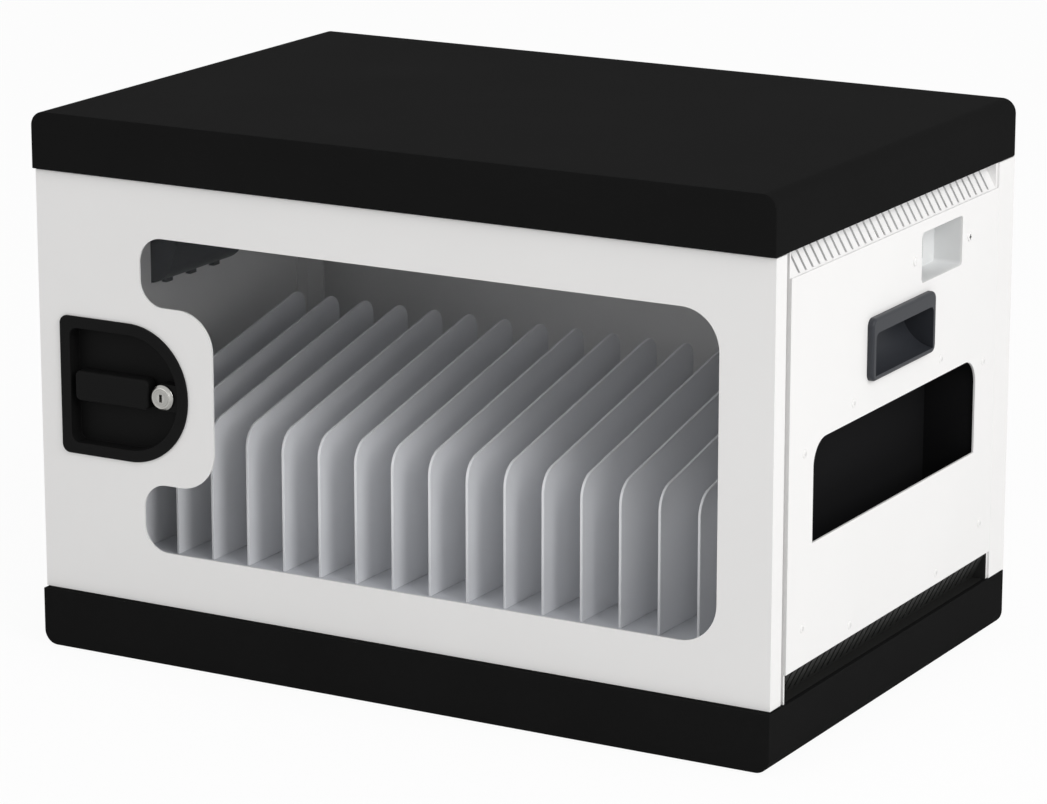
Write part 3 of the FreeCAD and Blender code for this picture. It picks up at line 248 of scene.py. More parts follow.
def islands(node):
    """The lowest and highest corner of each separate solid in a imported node."""
    mesh = bmesh.new()
    mesh.from_mesh(NODES[node].data)
    bmesh.ops.remove_doubles(mesh, verts=mesh.verts, dist=MERGE)
    waiting = set(mesh.verts)
    boxes = []
    while waiting:
        reached = [waiting.pop()]
        found = []
        while reached:
            vertex = reached.pop()
            found.append(vertex.co.copy())
            for edge in vertex.link_edges:
                other = edge.other_vert(vertex)
                if other in waiting:
                    waiting.remove(other)
                    reached.append(other)
        low = Vector(min(spot[axis] for spot in found) for axis in range(3))
        high = Vector(max(spot[axis] for spot in found) for axis in range(3))
        boxes.append((low, high))
    mesh.free()
    return sorted(boxes, key=lambda box: tuple(round(value, SORT_DIGITS) for value in box[0]))


def axis_matrix(spot, axis):
    """Stand a piece made along +Z on a spot, pointing along an axis."""
    turned = Vector((0, 0, 1)).rotation_difference(Vector(axis)).to_matrix().to_4x4()
    return Matrix.Translation(spot) @ turned


def put(mesh, standing, matrix):
    """Turn the faces of what is new in a mesh outward and put it in place."""
    fresh = [vertex for vertex in mesh.verts if vertex not in standing]
    faces = {face for vertex in fresh for face in vertex.link_faces}
    bmesh.ops.recalc_face_normals(mesh, faces=list(faces))
    bmesh.ops.transform(mesh, matrix=matrix, verts=fresh)


def spun(mesh, profile, matrix, steps):
    """Turn a profile of radius and height once round +Z and put it in place."""
    standing = set(mesh.verts)
    verts = [mesh.verts.new((radius, 0, height)) for radius, height in profile]
    edges = [mesh.edges.new(pair) for pair in zip(verts, verts[1:])]
    bmesh.ops.spin(
        mesh, geom=verts + edges, cent=(0, 0, 0), axis=(0, 0, 1), angle=math.tau, steps=steps, use_merge=True
    )
    fresh = [vertex for vertex in mesh.verts if vertex not in standing]
    bmesh.ops.remove_doubles(mesh, verts=fresh, dist=MERGE)
    put(mesh, standing, matrix)


def dome(radius, height):
    """A domed profile from the seat's rim to the middle."""
    turns = [math.pi / 2 * step / DOME_STEPS for step in range(DOME_STEPS + 1)]
    return [(radius * math.cos(angle), height * math.sin(angle)) for angle in turns]


def cross_screw(mesh, radius, height, shank_radius, shank_length, matrix):
    """A pan-head screw with a cross recess, its seat at zero and its head along +Z."""
    standing = set(mesh.verts)
    half = radius * SLOT_SHARE
    arm = radius * ARM_SHARE
    corners = [
        (half, half), (half, arm), (-half, arm), (-half, half), (-arm, half), (-arm, -half),
        (-half, -half), (-half, -arm), (half, -arm), (half, -half), (arm, -half), (arm, half),
    ]
    cross = mesh.faces.new([mesh.verts.new((x, y, height)) for x, y in corners])
    rim = list(cross.edges)
    sunk = bmesh.ops.extrude_discrete_faces(mesh, faces=[cross])["faces"][0]
    bmesh.ops.translate(mesh, verts=list(sunk.verts), vec=(0, 0, -height * RECESS_SHARE))
    bmesh.ops.scale(mesh, verts=list(sunk.verts), vec=(RECESS_TAPER, RECESS_TAPER, 1))
    outline = [(radius * wide, height * high) for wide, high in PAN_SHARES]
    lifted = Matrix.Translation((0, 0, height))
    ring = bmesh.ops.create_circle(mesh, segments=PAN_SIDES, radius=outline[0][0], matrix=lifted)["verts"]
    loop = list({edge for vertex in ring for edge in vertex.link_edges})
    bmesh.ops.bridge_loops(mesh, edges=rim + loop)
    if shank_length:
        outline += [(shank_radius, 0), (shank_radius, -shank_length)]
    for (inner, _), (outer, seat) in zip(outline, outline[1:]):
        made = bmesh.ops.extrude_edge_only(mesh, edges=loop)["geom"]
        fresh = [item for item in made if isinstance(item, bmesh.types.BMVert)]
        loop = [item for item in made if isinstance(item, bmesh.types.BMEdge)]
        bmesh.ops.scale(mesh, verts=fresh, vec=(outer / inner, outer / inner, 1))
        for vertex in fresh:
            vertex.co.z = seat
        loop = [edge for edge in loop if set(edge.verts) <= set(fresh)]
    bmesh.ops.contextual_create(mesh, geom=loop)
    put(mesh, standing, matrix)


def smooth_nodes():
    """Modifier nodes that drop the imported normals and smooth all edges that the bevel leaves."""
    group = bpy.data.node_groups.new("smooth_by_angle", "GeometryNodeTree")
    for way in ("INPUT", "OUTPUT"):
        group.interface.new_socket("Mesh", in_out=way, socket_type="NodeSocketGeometry")
    entry = add(group, "NodeGroupInput")
    angle = add(group, "GeometryNodeInputMeshEdgeAngle")
    sharp = add(group, "ShaderNodeMath", {"operation": "GREATER_THAN"}, {0: angle.outputs[0], 1: SHARP_ANGLE})
    smooth = add(group, "GeometryNodeSetMeshNormal", inputs={
        "Mesh": entry.outputs[0], "Remove Custom": True, "Edge Sharpness": sharp.outputs[0],
        "Face Sharpness": False,
    })
    add(group, "NodeGroupOutput", inputs={0: smooth.outputs[0]})
    return group


def soften(names, width=0, segments=2):
    """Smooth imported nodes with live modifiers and, given a width, round their hard edges.

    The door, the handles and the tongue get no width, because their pierced flats fold under the bevel.
    """
    group = bpy.data.node_groups.get("smooth_by_angle") or smooth_nodes()
    for name in names:
        weld = NODES[name].modifiers.new("weld", "WELD")
        weld.merge_threshold = MERGE
        if width:
            planes = NODES[name].modifiers.new("planes", "DECIMATE")
            planes.decimate_type = "DISSOLVE"
            planes.angle_limit = FLAT_ANGLE
        NODES[name].modifiers.new("smooth", "NODES").node_group = group
        if width:
            edge = NODES[name].modifiers.new("edge", "BEVEL")
            edge.width = width
            edge.segments = segments
            edge.limit_method = "ANGLE"
            edge.angle_limit = SHARP_ANGLE
        flat = NODES[name].modifiers.new("flat", "WEIGHTED_NORMAL")
        flat.keep_sharp = True


def paint(names, material):
    """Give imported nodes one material."""
    for name in names:
        NODES[name].data.materials.clear()
        NODES[name].data.materials.append(material)


# Material helpers


def new_material(name):
    """An empty node material."""
    material = bpy.data.materials.new(name)
    material.use_nodes = True
    material.node_tree.nodes.clear()
    return material


def add(owner, kind, settings=None, inputs=None):
    """Add a node with its settings, and set or link its inputs."""
    tree = getattr(owner, "node_tree", owner)
    node = tree.nodes.new(kind)
    for key, value in (settings or {}).items():
        setattr(node, key, value)
    for key, value in (inputs or {}).items():
        if isinstance(value, bpy.types.NodeSocket):
            tree.links.new(value, node.inputs[key])
        else:
            node.inputs[key].default_value = value
    return node


def shown(material, shader):
    """Put a shader on the material's output."""
    add(material, "ShaderNodeOutputMaterial", inputs={"Surface": shader.outputs[0]})
    return material


def tones(base, shares):
    """A colour's darkest and lightest tones, with full alpha, for a colour Mix node."""
    dark, light = (tuple(min(1, part * share) for part in base) + (1,) for share in shares)
    return {MIX_A: dark, MIX_B: light}


def powder_coat(name, base, rough=0.46, level=0.4):
    """Polyester powder coat on sheet steel.

    It is sprayed dry and baked, so the eye sees an even satin with a very fine orange peel.
    """
    material = new_material(name)
    spot = add(material, "ShaderNodeTexCoord").outputs["Object"]
    # The real peel is under a millimetre across. It is drawn at 2 mm so that it shows.
    peel = add(material, "ShaderNodeTexNoise", inputs={"Vector": spot, "Scale": 1 / PEEL, "Detail": 2})
    cloud = add(
        material, "ShaderNodeTexNoise", inputs={"Vector": spot, "Scale": 1 / PAINT_CLOUD, "Detail": 3}
    )
    tone = add(
        material, "ShaderNodeMix", {"data_type": "RGBA"},
        {MIX_FACTOR: cloud.outputs["Fac"], **tones(base, PAINT_TONES)},
    )
    satin = add(
        material, "ShaderNodeMapRange",
        inputs={"Value": peel.outputs["Fac"], "To Min": rough - SATIN_SWING, "To Max": rough + SATIN_SWING},
    )
    relief = add(
        material, "ShaderNodeBump",
        inputs={"Height": peel.outputs["Fac"], "Strength": 0.25, "Distance": PEEL_RELIEF},
    )
    return shown(material, add(
        material, "ShaderNodeBsdfPrincipled",
        inputs={
            "Base Color": tone.outputs[MIX_RESULT], "Roughness": satin.outputs[0],
            "Normal": relief.outputs[0], "Specular IOR Level": level,
        },
    ))


def vent_coat_with_shade(name, upper, lower, height):
    """Powder coat on the vent strips: the upper ones match the panels, and the lower ones take the base's
    black as painted shade, since they face down into shade.
    """
    material = new_material(name)
    spot = add(material, "ShaderNodeTexCoord").outputs["Object"]
    parts = add(material, "ShaderNodeSeparateXYZ", inputs={"Vector": spot})
    # Below the strips' middle the colour is painted shade, not a second paint.
    above_shade_line = add(material, "ShaderNodeMath", {"operation": "GREATER_THAN"}, {0: parts.outputs["Z"], 1: height})
    peel = add(material, "ShaderNodeTexNoise", inputs={"Vector": spot, "Scale": 1 / PEEL, "Detail": 2})
    tone = add(
        material, "ShaderNodeMix", {"data_type": "RGBA"},
        {MIX_FACTOR: above_shade_line.outputs[0], MIX_A: lower + (1,), MIX_B: upper + (1,)},
    )
    relief = add(
        material, "ShaderNodeBump",
        inputs={"Height": peel.outputs["Fac"], "Strength": 0.25, "Distance": PEEL_RELIEF},
    )
    return shown(material, add(
        material, "ShaderNodeBsdfPrincipled",
        inputs={
            "Base Color": tone.outputs[MIX_RESULT], "Roughness": 0.5, "Normal": relief.outputs[0],
            "Specular IOR Level": 0.2,
        },
    ))


def moulded_abs(name, base, grain, rough=0.7, level=0.03, depth=0.12 * MM):
    """Injection-moulded ABS from an etched tool.

    The etch leaves a close pebble grain that breaks up reflections into a dull, even sheen.
    """
    material = new_material(name)
    spot = add(material, "ShaderNodeTexCoord").outputs["Object"]
    pebble = add(
        material, "ShaderNodeTexVoronoi", {"feature": "SMOOTH_F1"},
        {"Vector": spot, "Scale": 1 / grain, "Smoothness": 0.6},
    )
    flow = add(material, "ShaderNodeTexNoise", inputs={"Vector": spot, "Scale": 1 / ABS_CLOUD, "Detail": 4})
    tone = add(
        material, "ShaderNodeMix", {"data_type": "RGBA"},
        {MIX_FACTOR: flow.outputs["Fac"], **tones(base, ABS_TONES)},
    )
    sheen = add(
        material, "ShaderNodeMapRange",
        inputs={"Value": flow.outputs["Fac"], "To Min": rough - SHEEN_SWING, "To Max": rough + SHEEN_SWING},
    )
    relief = add(
        material, "ShaderNodeBump",
        inputs={"Height": pebble.outputs["Distance"], "Strength": 0.3, "Distance": depth},
    )
    return shown(material, add(
        material, "ShaderNodeBsdfPrincipled",
        inputs={
            "Base Color": tone.outputs[MIX_RESULT], "Roughness": sheen.outputs[0],
            "Normal": relief.outputs[0], "Specular IOR Level": level,
        },
    ))


def plated_metal(name, base, rough):
    """Electroplated zinc or nickel on steel or brass.

    The plating follows the metal, so it is bright with faint cloudy patches.
    """
    material = new_material(name)
    spot = add(material, "ShaderNodeTexCoord").outputs["Object"]
    patch = add(
        material, "ShaderNodeTexNoise", inputs={"Vector": spot, "Scale": 1 / PLATE_PATCH, "Detail": 5}
    )
    tone = add(
        material, "ShaderNodeMix", {"data_type": "RGBA"},
        {MIX_FACTOR: patch.outputs["Fac"], **tones(base, PLATE_TONES)},
    )
    sheen = add(
        material, "ShaderNodeMapRange",
        inputs={"Value": patch.outputs["Fac"], "To Min": rough - PLATE_SWING, "To Max": rough + PLATE_SWING},
    )
    return shown(material, add(
        material, "ShaderNodeBsdfPrincipled",
        inputs={"Base Color": tone.outputs[MIX_RESULT], "Metallic": 1, "Roughness": sheen.outputs[0]},
    ))


def turned_nickel(name, base, centre):
    """Nickel plate over a turned brass face: fine rings round the key's axis catch the light."""
    material = new_material(name)
    spot = add(material, "ShaderNodeTexCoord").outputs["Object"]
    middle = add(
        material, "ShaderNodeMapping", {"vector_type": "POINT"},
        {"Vector": spot, "Location": (-centre.x, 0, -centre.z)},
    )
    # Tool marks are about 0.1 mm apart. They are drawn at 0.7 mm so that they show.
    marks = add(
        material, "ShaderNodeTexWave", {"wave_type": "RINGS", "rings_direction": "Y"},
        {"Vector": middle.outputs[0], "Scale": 1 / TOOL_MARK / WAVE_FACTOR, "Distortion": 0.6},
    )
    sheen = add(
        material, "ShaderNodeMapRange", inputs={"Value": marks.outputs["Fac"], "To Min": 0.16, "To Max": 0.3}
    )
    tone = add(
        material, "ShaderNodeMix", {"data_type": "RGBA"},
        {MIX_FACTOR: marks.outputs["Fac"], **tones(base, TURNED_TONES)},
    )
    return shown(material, add(
        material, "ShaderNodeBsdfPrincipled",
        inputs={"Base Color": tone.outputs[MIX_RESULT], "Metallic": 1, "Roughness": sheen.outputs[0]},
    ))


def black_rubber(name, base):
    """Moulded nitrile rubber: dull and slightly dusty, with almost no highlight."""
    material = new_material(name)
    spot = add(material, "ShaderNodeTexCoord").outputs["Object"]
    dust = add(material, "ShaderNodeTexNoise", inputs={"Vector": spot, "Scale": 1 / DUST, "Detail": 6})
    tone = add(
        material, "ShaderNodeMix", {"data_type": "RGBA"},
        {MIX_FACTOR: dust.outputs["Fac"], **tones(base, RUBBER_TONES)},
    )
    relief = add(
        material, "ShaderNodeBump",
        inputs={"Height": dust.outputs["Fac"], "Strength": 0.2, "Distance": DUST_RELIEF},
    )
    return shown(material, add(
        material, "ShaderNodeBsdfPrincipled",
        inputs={
            "Base Color": tone.outputs[MIX_RESULT], "Roughness": 0.82, "Normal": relief.outputs[0],
            "Specular IOR Level": 0.25,
        },
    ))


def clear_sheet(name, base):
    """Extruded polycarbonate: clear and flat, with a faint film that shows only as sheen."""
    material = new_material(name)
    spot = add(material, "ShaderNodeTexCoord").outputs["Object"]
    film = add(material, "ShaderNodeTexNoise", inputs={"Vector": spot, "Scale": 1 / FILM, "Detail": 4})
    sheen = add(
        material, "ShaderNodeMapRange", inputs={"Value": film.outputs["Fac"], "To Min": 0.03, "To Max": 0.1}
    )
    return shown(material, add(
        material, "ShaderNodeBsdfPrincipled",
        inputs={
            "Base Color": base + (1,), "Roughness": sheen.outputs[0], "IOR": POLYCARBONATE_IOR,
            "Alpha": 0.012,
        },
    ))


def lens_plastic(name, base):
    """Frosted polycarbonate light pipe: pale, milky and a little glossy."""
    material = new_material(name)
    spot = add(material, "ShaderNodeTexCoord").outputs["Object"]
    milk = add(material, "ShaderNodeTexNoise", inputs={"Vector": spot, "Scale": 1 / MILK, "Detail": 2})
    tone = add(
        material, "ShaderNodeMix", {"data_type": "RGBA"},
        {MIX_FACTOR: milk.outputs["Fac"], **tones(base, LENS_TONES)},
    )
    return shown(material, add(
        material, "ShaderNodeBsdfPrincipled",
        inputs={"Base Color": tone.outputs[MIX_RESULT], "Roughness": 0.3, "IOR": POLYCARBONATE_IOR},
    ))


# One operator for each group of pieces


class CABINET_OT_caps(bpy.types.Operator):
    """Finish the base tray and top cover"""

    bl_idname = "cabinet.caps"
    bl_label = "Base tray and top cover"

    def execute(self, context):
        hues = context.scene.cabinet_colours
        names = ("base_tray", "top_cover")
        black = moulded_abs(
            "black_etched_abs", tuple(hues.cap_black), grain=1.6 * MM, rough=0.75, level=0.01
        )
        paint(names, black)
        soften(names, context.scene.cabinet_sizes.cap_edge, segments=3)
        return {"FINISHED"}


class CABINET_OT_panels(bpy.types.Operator):
    """Finish the painted sheets outside: side panels, back panel, posts, vents and inlet box"""

    bl_idname = "cabinet.panels"
    bl_label = "Outer sheets"

    def execute(self, context):
        hues = context.scene.cabinet_colours
        outside = (
            "left_side_panel", "right_side_panel", "back_panel", "front_left_post", "front_right_post",
            "rear_left_post", "rear_right_post",
        )
        paint(outside, powder_coat("white_powder_coat", tuple(hues.panel_paint)))
        paint(("inlet_box",), powder_coat("inlet_powder_coat", tuple(hues.inlet_paint)))
        soften(outside + ("inlet_box",), context.scene.cabinet_sizes.sheet_edge)
        # The lower half of the vent strips gets the base's black as painted shade.
        low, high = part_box("vent_strips")
        middle = (low.z + high.z) / 2
        vents = vent_coat_with_shade("vent_coat_painted_shade", tuple(hues.panel_paint), tuple(hues.base_black_and_vent_shade), middle)
        paint(("vent_strips",), vents)
        return {"FINISHED"}


class CABINET_OT_inside(bpy.types.Operator):
    """Finish the plates, floor and rails inside"""

    bl_idname = "cabinet.inside"
    bl_label = "Inner sheets"

    def execute(self, context):
        hues = context.scene.cabinet_colours
        black = powder_coat("black_powder_coat", tuple(hues.base_black_and_vent_shade), rough=0.55, level=0.1)
        paint(("base_plate",), black)
        inside = ("roof_plate", "floor_shelf", "floor_rails")
        paint(inside, powder_coat("grey_powder_coat", tuple(hues.inner_paint), rough=0.5))
        return {"FINISHED"}


class CABINET_OT_dividers(bpy.types.Operator):
    """Finish the row of dividers"""

    bl_idname = "cabinet.dividers"
    bl_label = "Dividers"

    def execute(self, context):
        hues = context.scene.cabinet_colours
        paint(DIVIDERS, powder_coat("divider_powder_coat", tuple(hues.divider_paint), rough=0.5))
        soften(DIVIDERS, context.scene.cabinet_sizes.sheet_edge)
        return {"FINISHED"}


class CABINET_OT_handles(bpy.types.Operator):
    """Finish the carrying handles and the cord pocket"""

    bl_idname = "cabinet.handles"
    bl_label = "Handles and cord pocket"

    def execute(self, context):
        hues = context.scene.cabinet_colours
        names = ("left_handle", "right_handle")
        charcoal = moulded_abs(
            "charcoal_abs", tuple(hues.handle_charcoal), grain=1.2 * MM, rough=0.42, level=0.3,
            depth=0.05 * MM,
        )
        paint(names, charcoal)
        soften(names)
        paint(("cord_pocket",), moulded_abs("pocket_abs", tuple(hues.pocket_black), grain=1.6 * MM))
        return {"FINISHED"}


class CABINET_OT_inlet(bpy.types.Operator):
    """Finish the mains inlet and its blades"""

    bl_idname = "cabinet.inlet"
    bl_label = "Mains inlet"

    def execute(self, context):
        hues = context.scene.cabinet_colours
        sizes = context.scene.cabinet_sizes
        socket = moulded_abs(
            "socket_abs", tuple(hues.lock_black), grain=1.2 * MM, rough=0.45, level=0.35, depth=0.04 * MM
        )
        paint(("mains_inlet",), socket)
        paint(("inlet_pins",), plated_metal("brass_blades", tuple(hues.brass), rough=0.25))
        soften(("mains_inlet", "inlet_pins"), sizes.metal_edge)
        return {"FINISHED"}


class CABINET_OT_door(bpy.types.Operator):
    """Finish the door, its window and its hinge"""

    bl_idname = "cabinet.door"
    bl_label = "Door and window"

    def execute(self, context):
        hues = context.scene.cabinet_colours
        sizes = context.scene.cabinet_sizes
        paint(("door_panel", "hinge_blocks"), powder_coat("door_powder_coat", tuple(hues.panel_paint)))
        soften(("door_panel",))
        paint(("window_pane",), clear_sheet("clear_polycarbonate", tuple(hues.pane_tint)))
        # The pane lies on the door's sheet. It is drawn in a little, so that the two faces never flicker.
        inset = NODES["window_pane"].modifiers.new("inset", "DISPLACE")
        inset.mid_level = 0
        inset.strength = -sizes.pane_gap
        paint(("pane_clips", "hinge_pins"), plated_metal("zinc_plate", tuple(hues.zinc), rough=0.36))
        # The washer's black is partly painted shade: it sits in the shade under the door's corner, and the
        # black stands in for that shade.
        washer_black_and_shade = moulded_abs("black_acetal_and_shade", tuple(hues.lock_black), grain=1.2 * MM, rough=0.4)
        paint(("hinge_washer",), washer_black_and_shade)
        paint(("door_bumpers",), black_rubber("bumper_rubber", tuple(hues.rubber_black)))
        return {"FINISHED"}


class CABINET_OT_lock(bpy.types.Operator):
    """Finish the lock housing, the turn handle and the key lock"""

    bl_idname = "cabinet.lock"
    bl_label = "Lock and latch"

    def execute(self, context):
        hues = context.scene.cabinet_colours
        sizes = context.scene.cabinet_sizes
        black = moulded_abs(
            "lock_abs", tuple(hues.lock_black), grain=1.1 * MM, rough=0.55, level=0.06, depth=0.05 * MM
        )
        paint(("lock_housing", "latch_bar"), black)
        soften(("lock_housing", "latch_bar"), sizes.moulding_edge, segments=3)
        low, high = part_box("lock_barrel")
        nickel = turned_nickel("turned_nickel", tuple(hues.nickel), (low + high) / 2)
        paint(("lock_barrel", "lock_plug"), nickel)
        soften(("lock_barrel", "lock_plug"), sizes.metal_edge)
        metal = plated_metal("cam_zinc_plate", tuple(hues.zinc), rough=0.34)
        paint(("latch_cam", "lock_tongue", "barrel_nut"), metal)
        soften(("latch_cam", "barrel_nut"), sizes.metal_edge)
        soften(("lock_tongue",))
        return {"FINISHED"}


class CABINET_OT_rivets(bpy.types.Operator):
    """Model the domed rivets of the cord pocket and the back panel"""

    bl_idname = "cabinet.rivets"
    bl_label = "Rivets"

    def execute(self, context):
        coat = powder_coat("painted_rivet", tuple(context.scene.cabinet_colours.panel_paint), rough=0.4)
        for node, axis, outward in (("pocket_rivets", 0, 1), ("back_panel_rivets", 1, -1)):
            mesh = bmesh.new()
            for low, high in islands(node):
                seat = (low + high) / 2
                seat[axis] = low[axis] if outward > 0 else high[axis]
                radius = (high.z - low.z) / 2
                direction = Vector((0, 0, 0))
                direction[axis] = outward
                height = high[axis] - low[axis]
                profile = [(0, 0)] + dome(radius, height)[:-1]
                profile += [(radius * wide, height * tall) for wide, tall in DIMPLE_SHARES]
                spun(mesh, profile, axis_matrix(seat, direction), PAN_SIDES)
            piece = piece_from(mesh, f"{node}_domed", "cabinet", coat)
            piece.data.shade_smooth()
            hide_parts(node)
        return {"FINISHED"}


class CABINET_OT_screws(bpy.types.Operator):
    """Model the cross-head screws"""

    bl_idname = "cabinet.screws"
    bl_label = "Screws"

    def execute(self, context):
        hues = context.scene.cabinet_colours
        sizes = context.scene.cabinet_sizes
        coat = powder_coat("painted_screw", tuple(hues.panel_paint), rough=0.4)
        metal = plated_metal("screw_zinc_plate", tuple(hues.zinc), rough=0.32)
        groups = (
            ("inlet_screws", "cabinet", coat, 0, 1, sizes.inlet_head, 0),
            ("cover_screws", "cabinet", metal, 2, -1, sizes.case_head, sizes.case_shank),
            ("base_screws", "cabinet", metal, 2, 1, sizes.case_head, sizes.case_shank),
            ("latch_screw", "latch", metal, 1, 1, sizes.latch_head, 0),
            ("tongue_screw", "lock", metal, 1, 1, sizes.tongue_head, 0),
        )
        for node, body, finish, axis, outward, head, shank in groups:
            mesh = bmesh.new()
            for low, high in islands(node):
                seat = (low + high) / 2
                crown = high[axis] if outward > 0 else low[axis]
                seat[axis] = crown - outward * head
                direction = Vector((0, 0, 0))
                direction[axis] = outward
                across = (axis + 1) % 3
                radius = (high[across] - low[across]) / 2
                tail = high[axis] - low[axis] - head if shank else 0
                cross_screw(mesh, radius, head, shank, tail, axis_matrix(seat, direction))
            piece = piece_from(mesh, f"{node}_cross_head", body, finish)
            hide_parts(node)
        return {"FINISHED"}


class CABINET_OT_feet(bpy.types.Operator):
    """Model the ringed rubber feet"""

    bl_idname = "cabinet.feet"
    bl_label = "Feet"

    def execute(self, context):
        sizes = context.scene.cabinet_sizes
        groove = sizes.foot_groove
        mesh = bmesh.new()
        for low, high in islands("rubber_feet"):
            radius = (high.x - low.x) / 2
            height = high.z - low.z
            middle = (low + high) / 2
            middle.z = low.z
            profile = [(0, groove)]
            for share in RING_SHARES:
                profile += [
                    (radius * (share - RING_ROOT), groove), (radius * (share - RING_FLAT), 0),
                    (radius * (share + RING_FLAT), 0), (radius * (share + RING_ROOT), groove),
                ]
            profile += [
                (radius * SOLE_SHARE, groove), (radius, groove * 2), (radius, height - sizes.foot_neck),
                (radius * NECK_SHARE, height), (0, height),
            ]
            spun(mesh, profile, Matrix.Translation(middle), FOOT_SIDES)
        rubber = black_rubber("foot_rubber", tuple(context.scene.cabinet_colours.rubber_black))
        piece = piece_from(mesh, "rubber_feet_ringed", "cabinet", rubber)
        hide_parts("rubber_feet")
        return {"FINISHED"}


class CABINET_OT_module(bpy.types.Operator):
    """Finish the charging module and model its port liners and indicator lenses"""

    bl_idname = "cabinet.module"
    bl_label = "Charging module"

    def execute(self, context):
        hues = context.scene.cabinet_colours
        sizes = context.scene.cabinet_sizes
        grey = moulded_abs("module_abs", tuple(hues.module_grey), grain=1.4 * MM, rough=0.5, level=0.3)
        paint(("charging_module",), grey)
        low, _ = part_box("charging_module")
        openings = frame["record"]["physics"]["openings"]
        bays = [box["box_m"] for box in openings if box["name"].startswith("bay_")]
        liners = bmesh.new()
        lenses = bmesh.new()
        for corner, far_corner in bays:
            port = Vector(((corner[0] + far_corner[0]) / 2, low.y, low.z + sizes.port_rise))
            self.liner(liners, port, sizes)
            lens = port + Vector((0, 0, sizes.lamp_rise))
            profile = [(0, -sizes.lamp_root), (sizes.lamp_radius, -sizes.lamp_root)]
            profile += dome(sizes.lamp_radius, sizes.lamp_height)
            spun(lenses, profile, axis_matrix(lens, (0, -1, 0)), LENS_SIDES)
        metal = plated_metal("port_plate", tuple(hues.nickel), rough=0.3)
        piece_from(liners, "port_liners", "cabinet", metal)
        glow = lens_plastic("indicator_lens", tuple(hues.lamp_white))
        piece_from(lenses, "indicator_lenses", "cabinet", glow).data.shade_smooth()
        return {"FINISHED"}

    def liner(self, mesh, port, sizes):
        """One port: a sunk metal liner with a bevelled tongue in it."""
        size = Vector((sizes.port_width, sizes.port_depth, sizes.port_height))
        middle = port + Vector((0, size.y / 2 + sizes.port_setback, 0))
        shell = Matrix.Translation(middle) @ Matrix.Diagonal(size.to_4d())
        made = bmesh.ops.create_cube(mesh, size=1, matrix=shell)
        faces = {face for vertex in made["verts"] for face in vertex.link_faces}
        mouth = min(faces, key=lambda face: face.calc_center_median().y)
        bmesh.ops.inset_region(mesh, faces=[mouth], thickness=sizes.port_wall)
        sunk = bmesh.ops.extrude_discrete_faces(mesh, faces=[mouth])["faces"][0]
        bmesh.ops.translate(mesh, verts=list(sunk.verts), vec=(0, size.y * MOUTH_SHARE, 0))
        thin = Vector(part * share for part, share in zip(size, TONGUE_SHARES))
        lifted = Matrix.Translation(middle + Vector((0, 0, size.z * TONGUE_LIFT)))
        made = bmesh.ops.create_cube(mesh, size=1, matrix=lifted @ Matrix.Diagonal(thin.to_4d()))
        edges = list({edge for vertex in made["verts"] for edge in vertex.link_edges})
        bmesh.ops.bevel(
            mesh, geom=edges, offset=sizes.port_edge, segments=1, profile=0.5, affect="EDGES", material=-1
        )


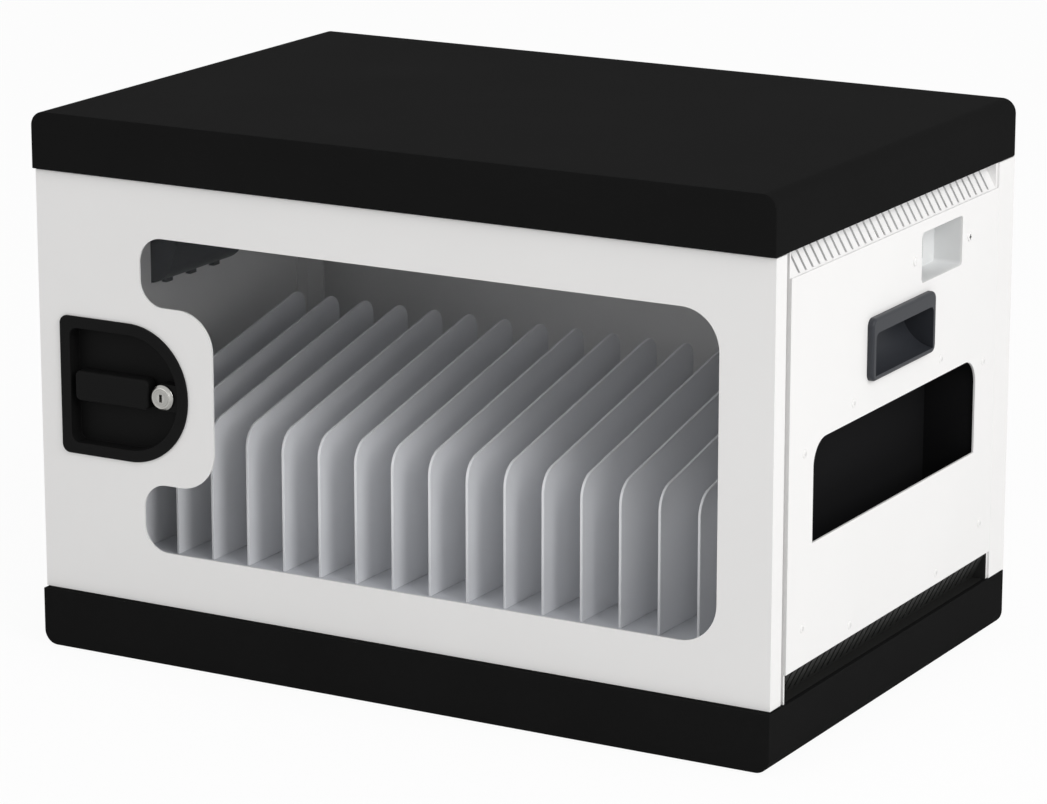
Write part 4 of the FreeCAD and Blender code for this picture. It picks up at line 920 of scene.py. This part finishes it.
class CABINET_OT_stage(bpy.types.Operator):
    """Set the floor, the light and the camera"""

    bl_idname = "cabinet.stage"
    bl_label = "Stage"

    def execute(self, context):
        scene = context.scene
        stage = scene.cabinet_stage
        scene.view_settings.view_transform = "Standard"
        self.floor(scene)
        self.sky(scene, stage.sky)
        self.lamp(scene, "key", stage.key_place, stage.key)
        self.lamp(scene, "fill", stage.fill_place, stage.fill)
        camera = bpy.data.objects.new("camera", bpy.data.cameras.new("camera"))
        scene.collection.objects.link(camera)
        camera.data.lens = stage.lens
        camera.data.clip_end = CLIP_END
        camera.location = stage.place
        camera.rotation_euler = (math.pi / 2 - stage.elevation, 0, stage.azimuth)
        scene.camera = camera
        return {"FINISHED"}

    def floor(self, scene):
        """A wide pale floor that the camera sees as white, with the cabinet's soft shadow."""
        mesh = bmesh.new()
        bmesh.ops.create_grid(mesh, x_segments=1, y_segments=1, size=FLOOR_HALF)
        data = bpy.data.meshes.new("floor")
        mesh.to_mesh(data)
        mesh.free()
        floor = bpy.data.objects.new("floor", data)
        scene.collection.objects.link(floor)
        material = new_material("pale_floor")
        ray = add(material, "ShaderNodeLightPath")
        matt = add(material, "ShaderNodeBsdfDiffuse", inputs={"Color": FLOOR_GREY})
        white = add(material, "ShaderNodeEmission", inputs={"Color": (1, 1, 1, 1), "Strength": 1})
        seen = add(
            material, "ShaderNodeMath", {"operation": "MAXIMUM"},
            {0: ray.outputs["Is Camera Ray"], 1: ray.outputs["Is Transmission Ray"]},
        )
        share = add(
            material, "ShaderNodeMath", {"operation": "MULTIPLY"}, {0: seen.outputs[0], 1: FLOOR_WHITE}
        )
        top = add(
            material, "ShaderNodeMixShader",
            inputs={0: share.outputs[0], 1: matt.outputs[0], 2: white.outputs[0]},
        )
        # From below the floor is clear, so that the feet and the base can be looked at.
        side = add(material, "ShaderNodeNewGeometry")
        clear = add(material, "ShaderNodeBsdfTransparent")
        shown(material, add(
            material, "ShaderNodeMixShader",
            inputs={0: side.outputs["Backfacing"], 1: top.outputs[0], 2: clear.outputs[0]},
        ))
        data.materials.append(material)

    def sky(self, scene, power):
        """Even light, with a white background for the camera, for gloss and for clear sheets."""
        world = bpy.data.worlds.new("studio")
        scene.world = world
        world.use_nodes = True
        world.node_tree.nodes.clear()
        ray = add(world, "ShaderNodeLightPath")
        gloss = add(
            world, "ShaderNodeMath", {"operation": "MAXIMUM"},
            {0: ray.outputs["Is Glossy Ray"], 1: ray.outputs["Is Transmission Ray"]},
        )
        seen = add(
            world, "ShaderNodeMath", {"operation": "MAXIMUM"},
            {0: ray.outputs["Is Camera Ray"], 1: gloss.outputs[0]},
        )
        amount = add(
            world, "ShaderNodeMapRange", inputs={"Value": seen.outputs[0], "To Min": power, "To Max": 1}
        )
        light = add(world, "ShaderNodeBackground", inputs={"Strength": amount.outputs[0]})
        add(world, "ShaderNodeOutputWorld", inputs={"Surface": light.outputs[0]})

    def lamp(self, scene, name, spot, power):
        """A large soft lamp that points at the cabinet."""
        data = bpy.data.lights.new(name, "AREA")
        data.energy = power
        data.size = scene.cabinet_stage.lamp_size
        lamp = bpy.data.objects.new(name, data)
        scene.collection.objects.link(lamp)
        lamp.location = spot
        aim = Vector(scene.cabinet_stage.aim) - Vector(spot)
        lamp.rotation_euler = aim.to_track_quat("-Z", "Y").to_euler()


GROUPS = ("cabinet_colours", "cabinet_sizes", "cabinet_stage")
OPERATORS = (
    CABINET_OT_caps, CABINET_OT_panels, CABINET_OT_inside, CABINET_OT_dividers, CABINET_OT_handles,
    CABINET_OT_inlet, CABINET_OT_door, CABINET_OT_lock, CABINET_OT_rivets, CABINET_OT_screws,
    CABINET_OT_feet, CABINET_OT_module, CABINET_OT_stage,
)


class CABINET_PT_pieces(bpy.types.Panel):
    """List the cabinet's pieces, sizes and colours"""

    bl_label = "Charging cabinet"
    bl_idname = "CABINET_PT_pieces"
    bl_space_type = "VIEW_3D"
    bl_region_type = "UI"
    bl_category = "Cabinet"

    def draw(self, context):
        for kind in OPERATORS:
            self.layout.operator(kind.bl_idname)
        for group in GROUPS:
            box = self.layout.box()
            settings = getattr(context.scene, group)
            for name in settings.__annotations__:
                box.prop(settings, name)


CLASSES = (CabinetColours, CabinetSizes, CabinetStage) + OPERATORS + (CABINET_PT_pieces,)


def register():
    for kind in CLASSES:
        bpy.utils.register_class(kind)
    for group, kind in zip(GROUPS, CLASSES):
        setattr(bpy.types.Scene, group, PointerProperty(type=kind))


def unregister():
    for group in GROUPS:
        delattr(bpy.types.Scene, group)
    for kind in reversed(CLASSES):
        bpy.utils.unregister_class(kind)


def main():
    register()
    for kind in OPERATORS:
        family, name = kind.bl_idname.split(".")
        getattr(getattr(bpy.ops, family), name)()


if __name__ == "__main__":
    main()
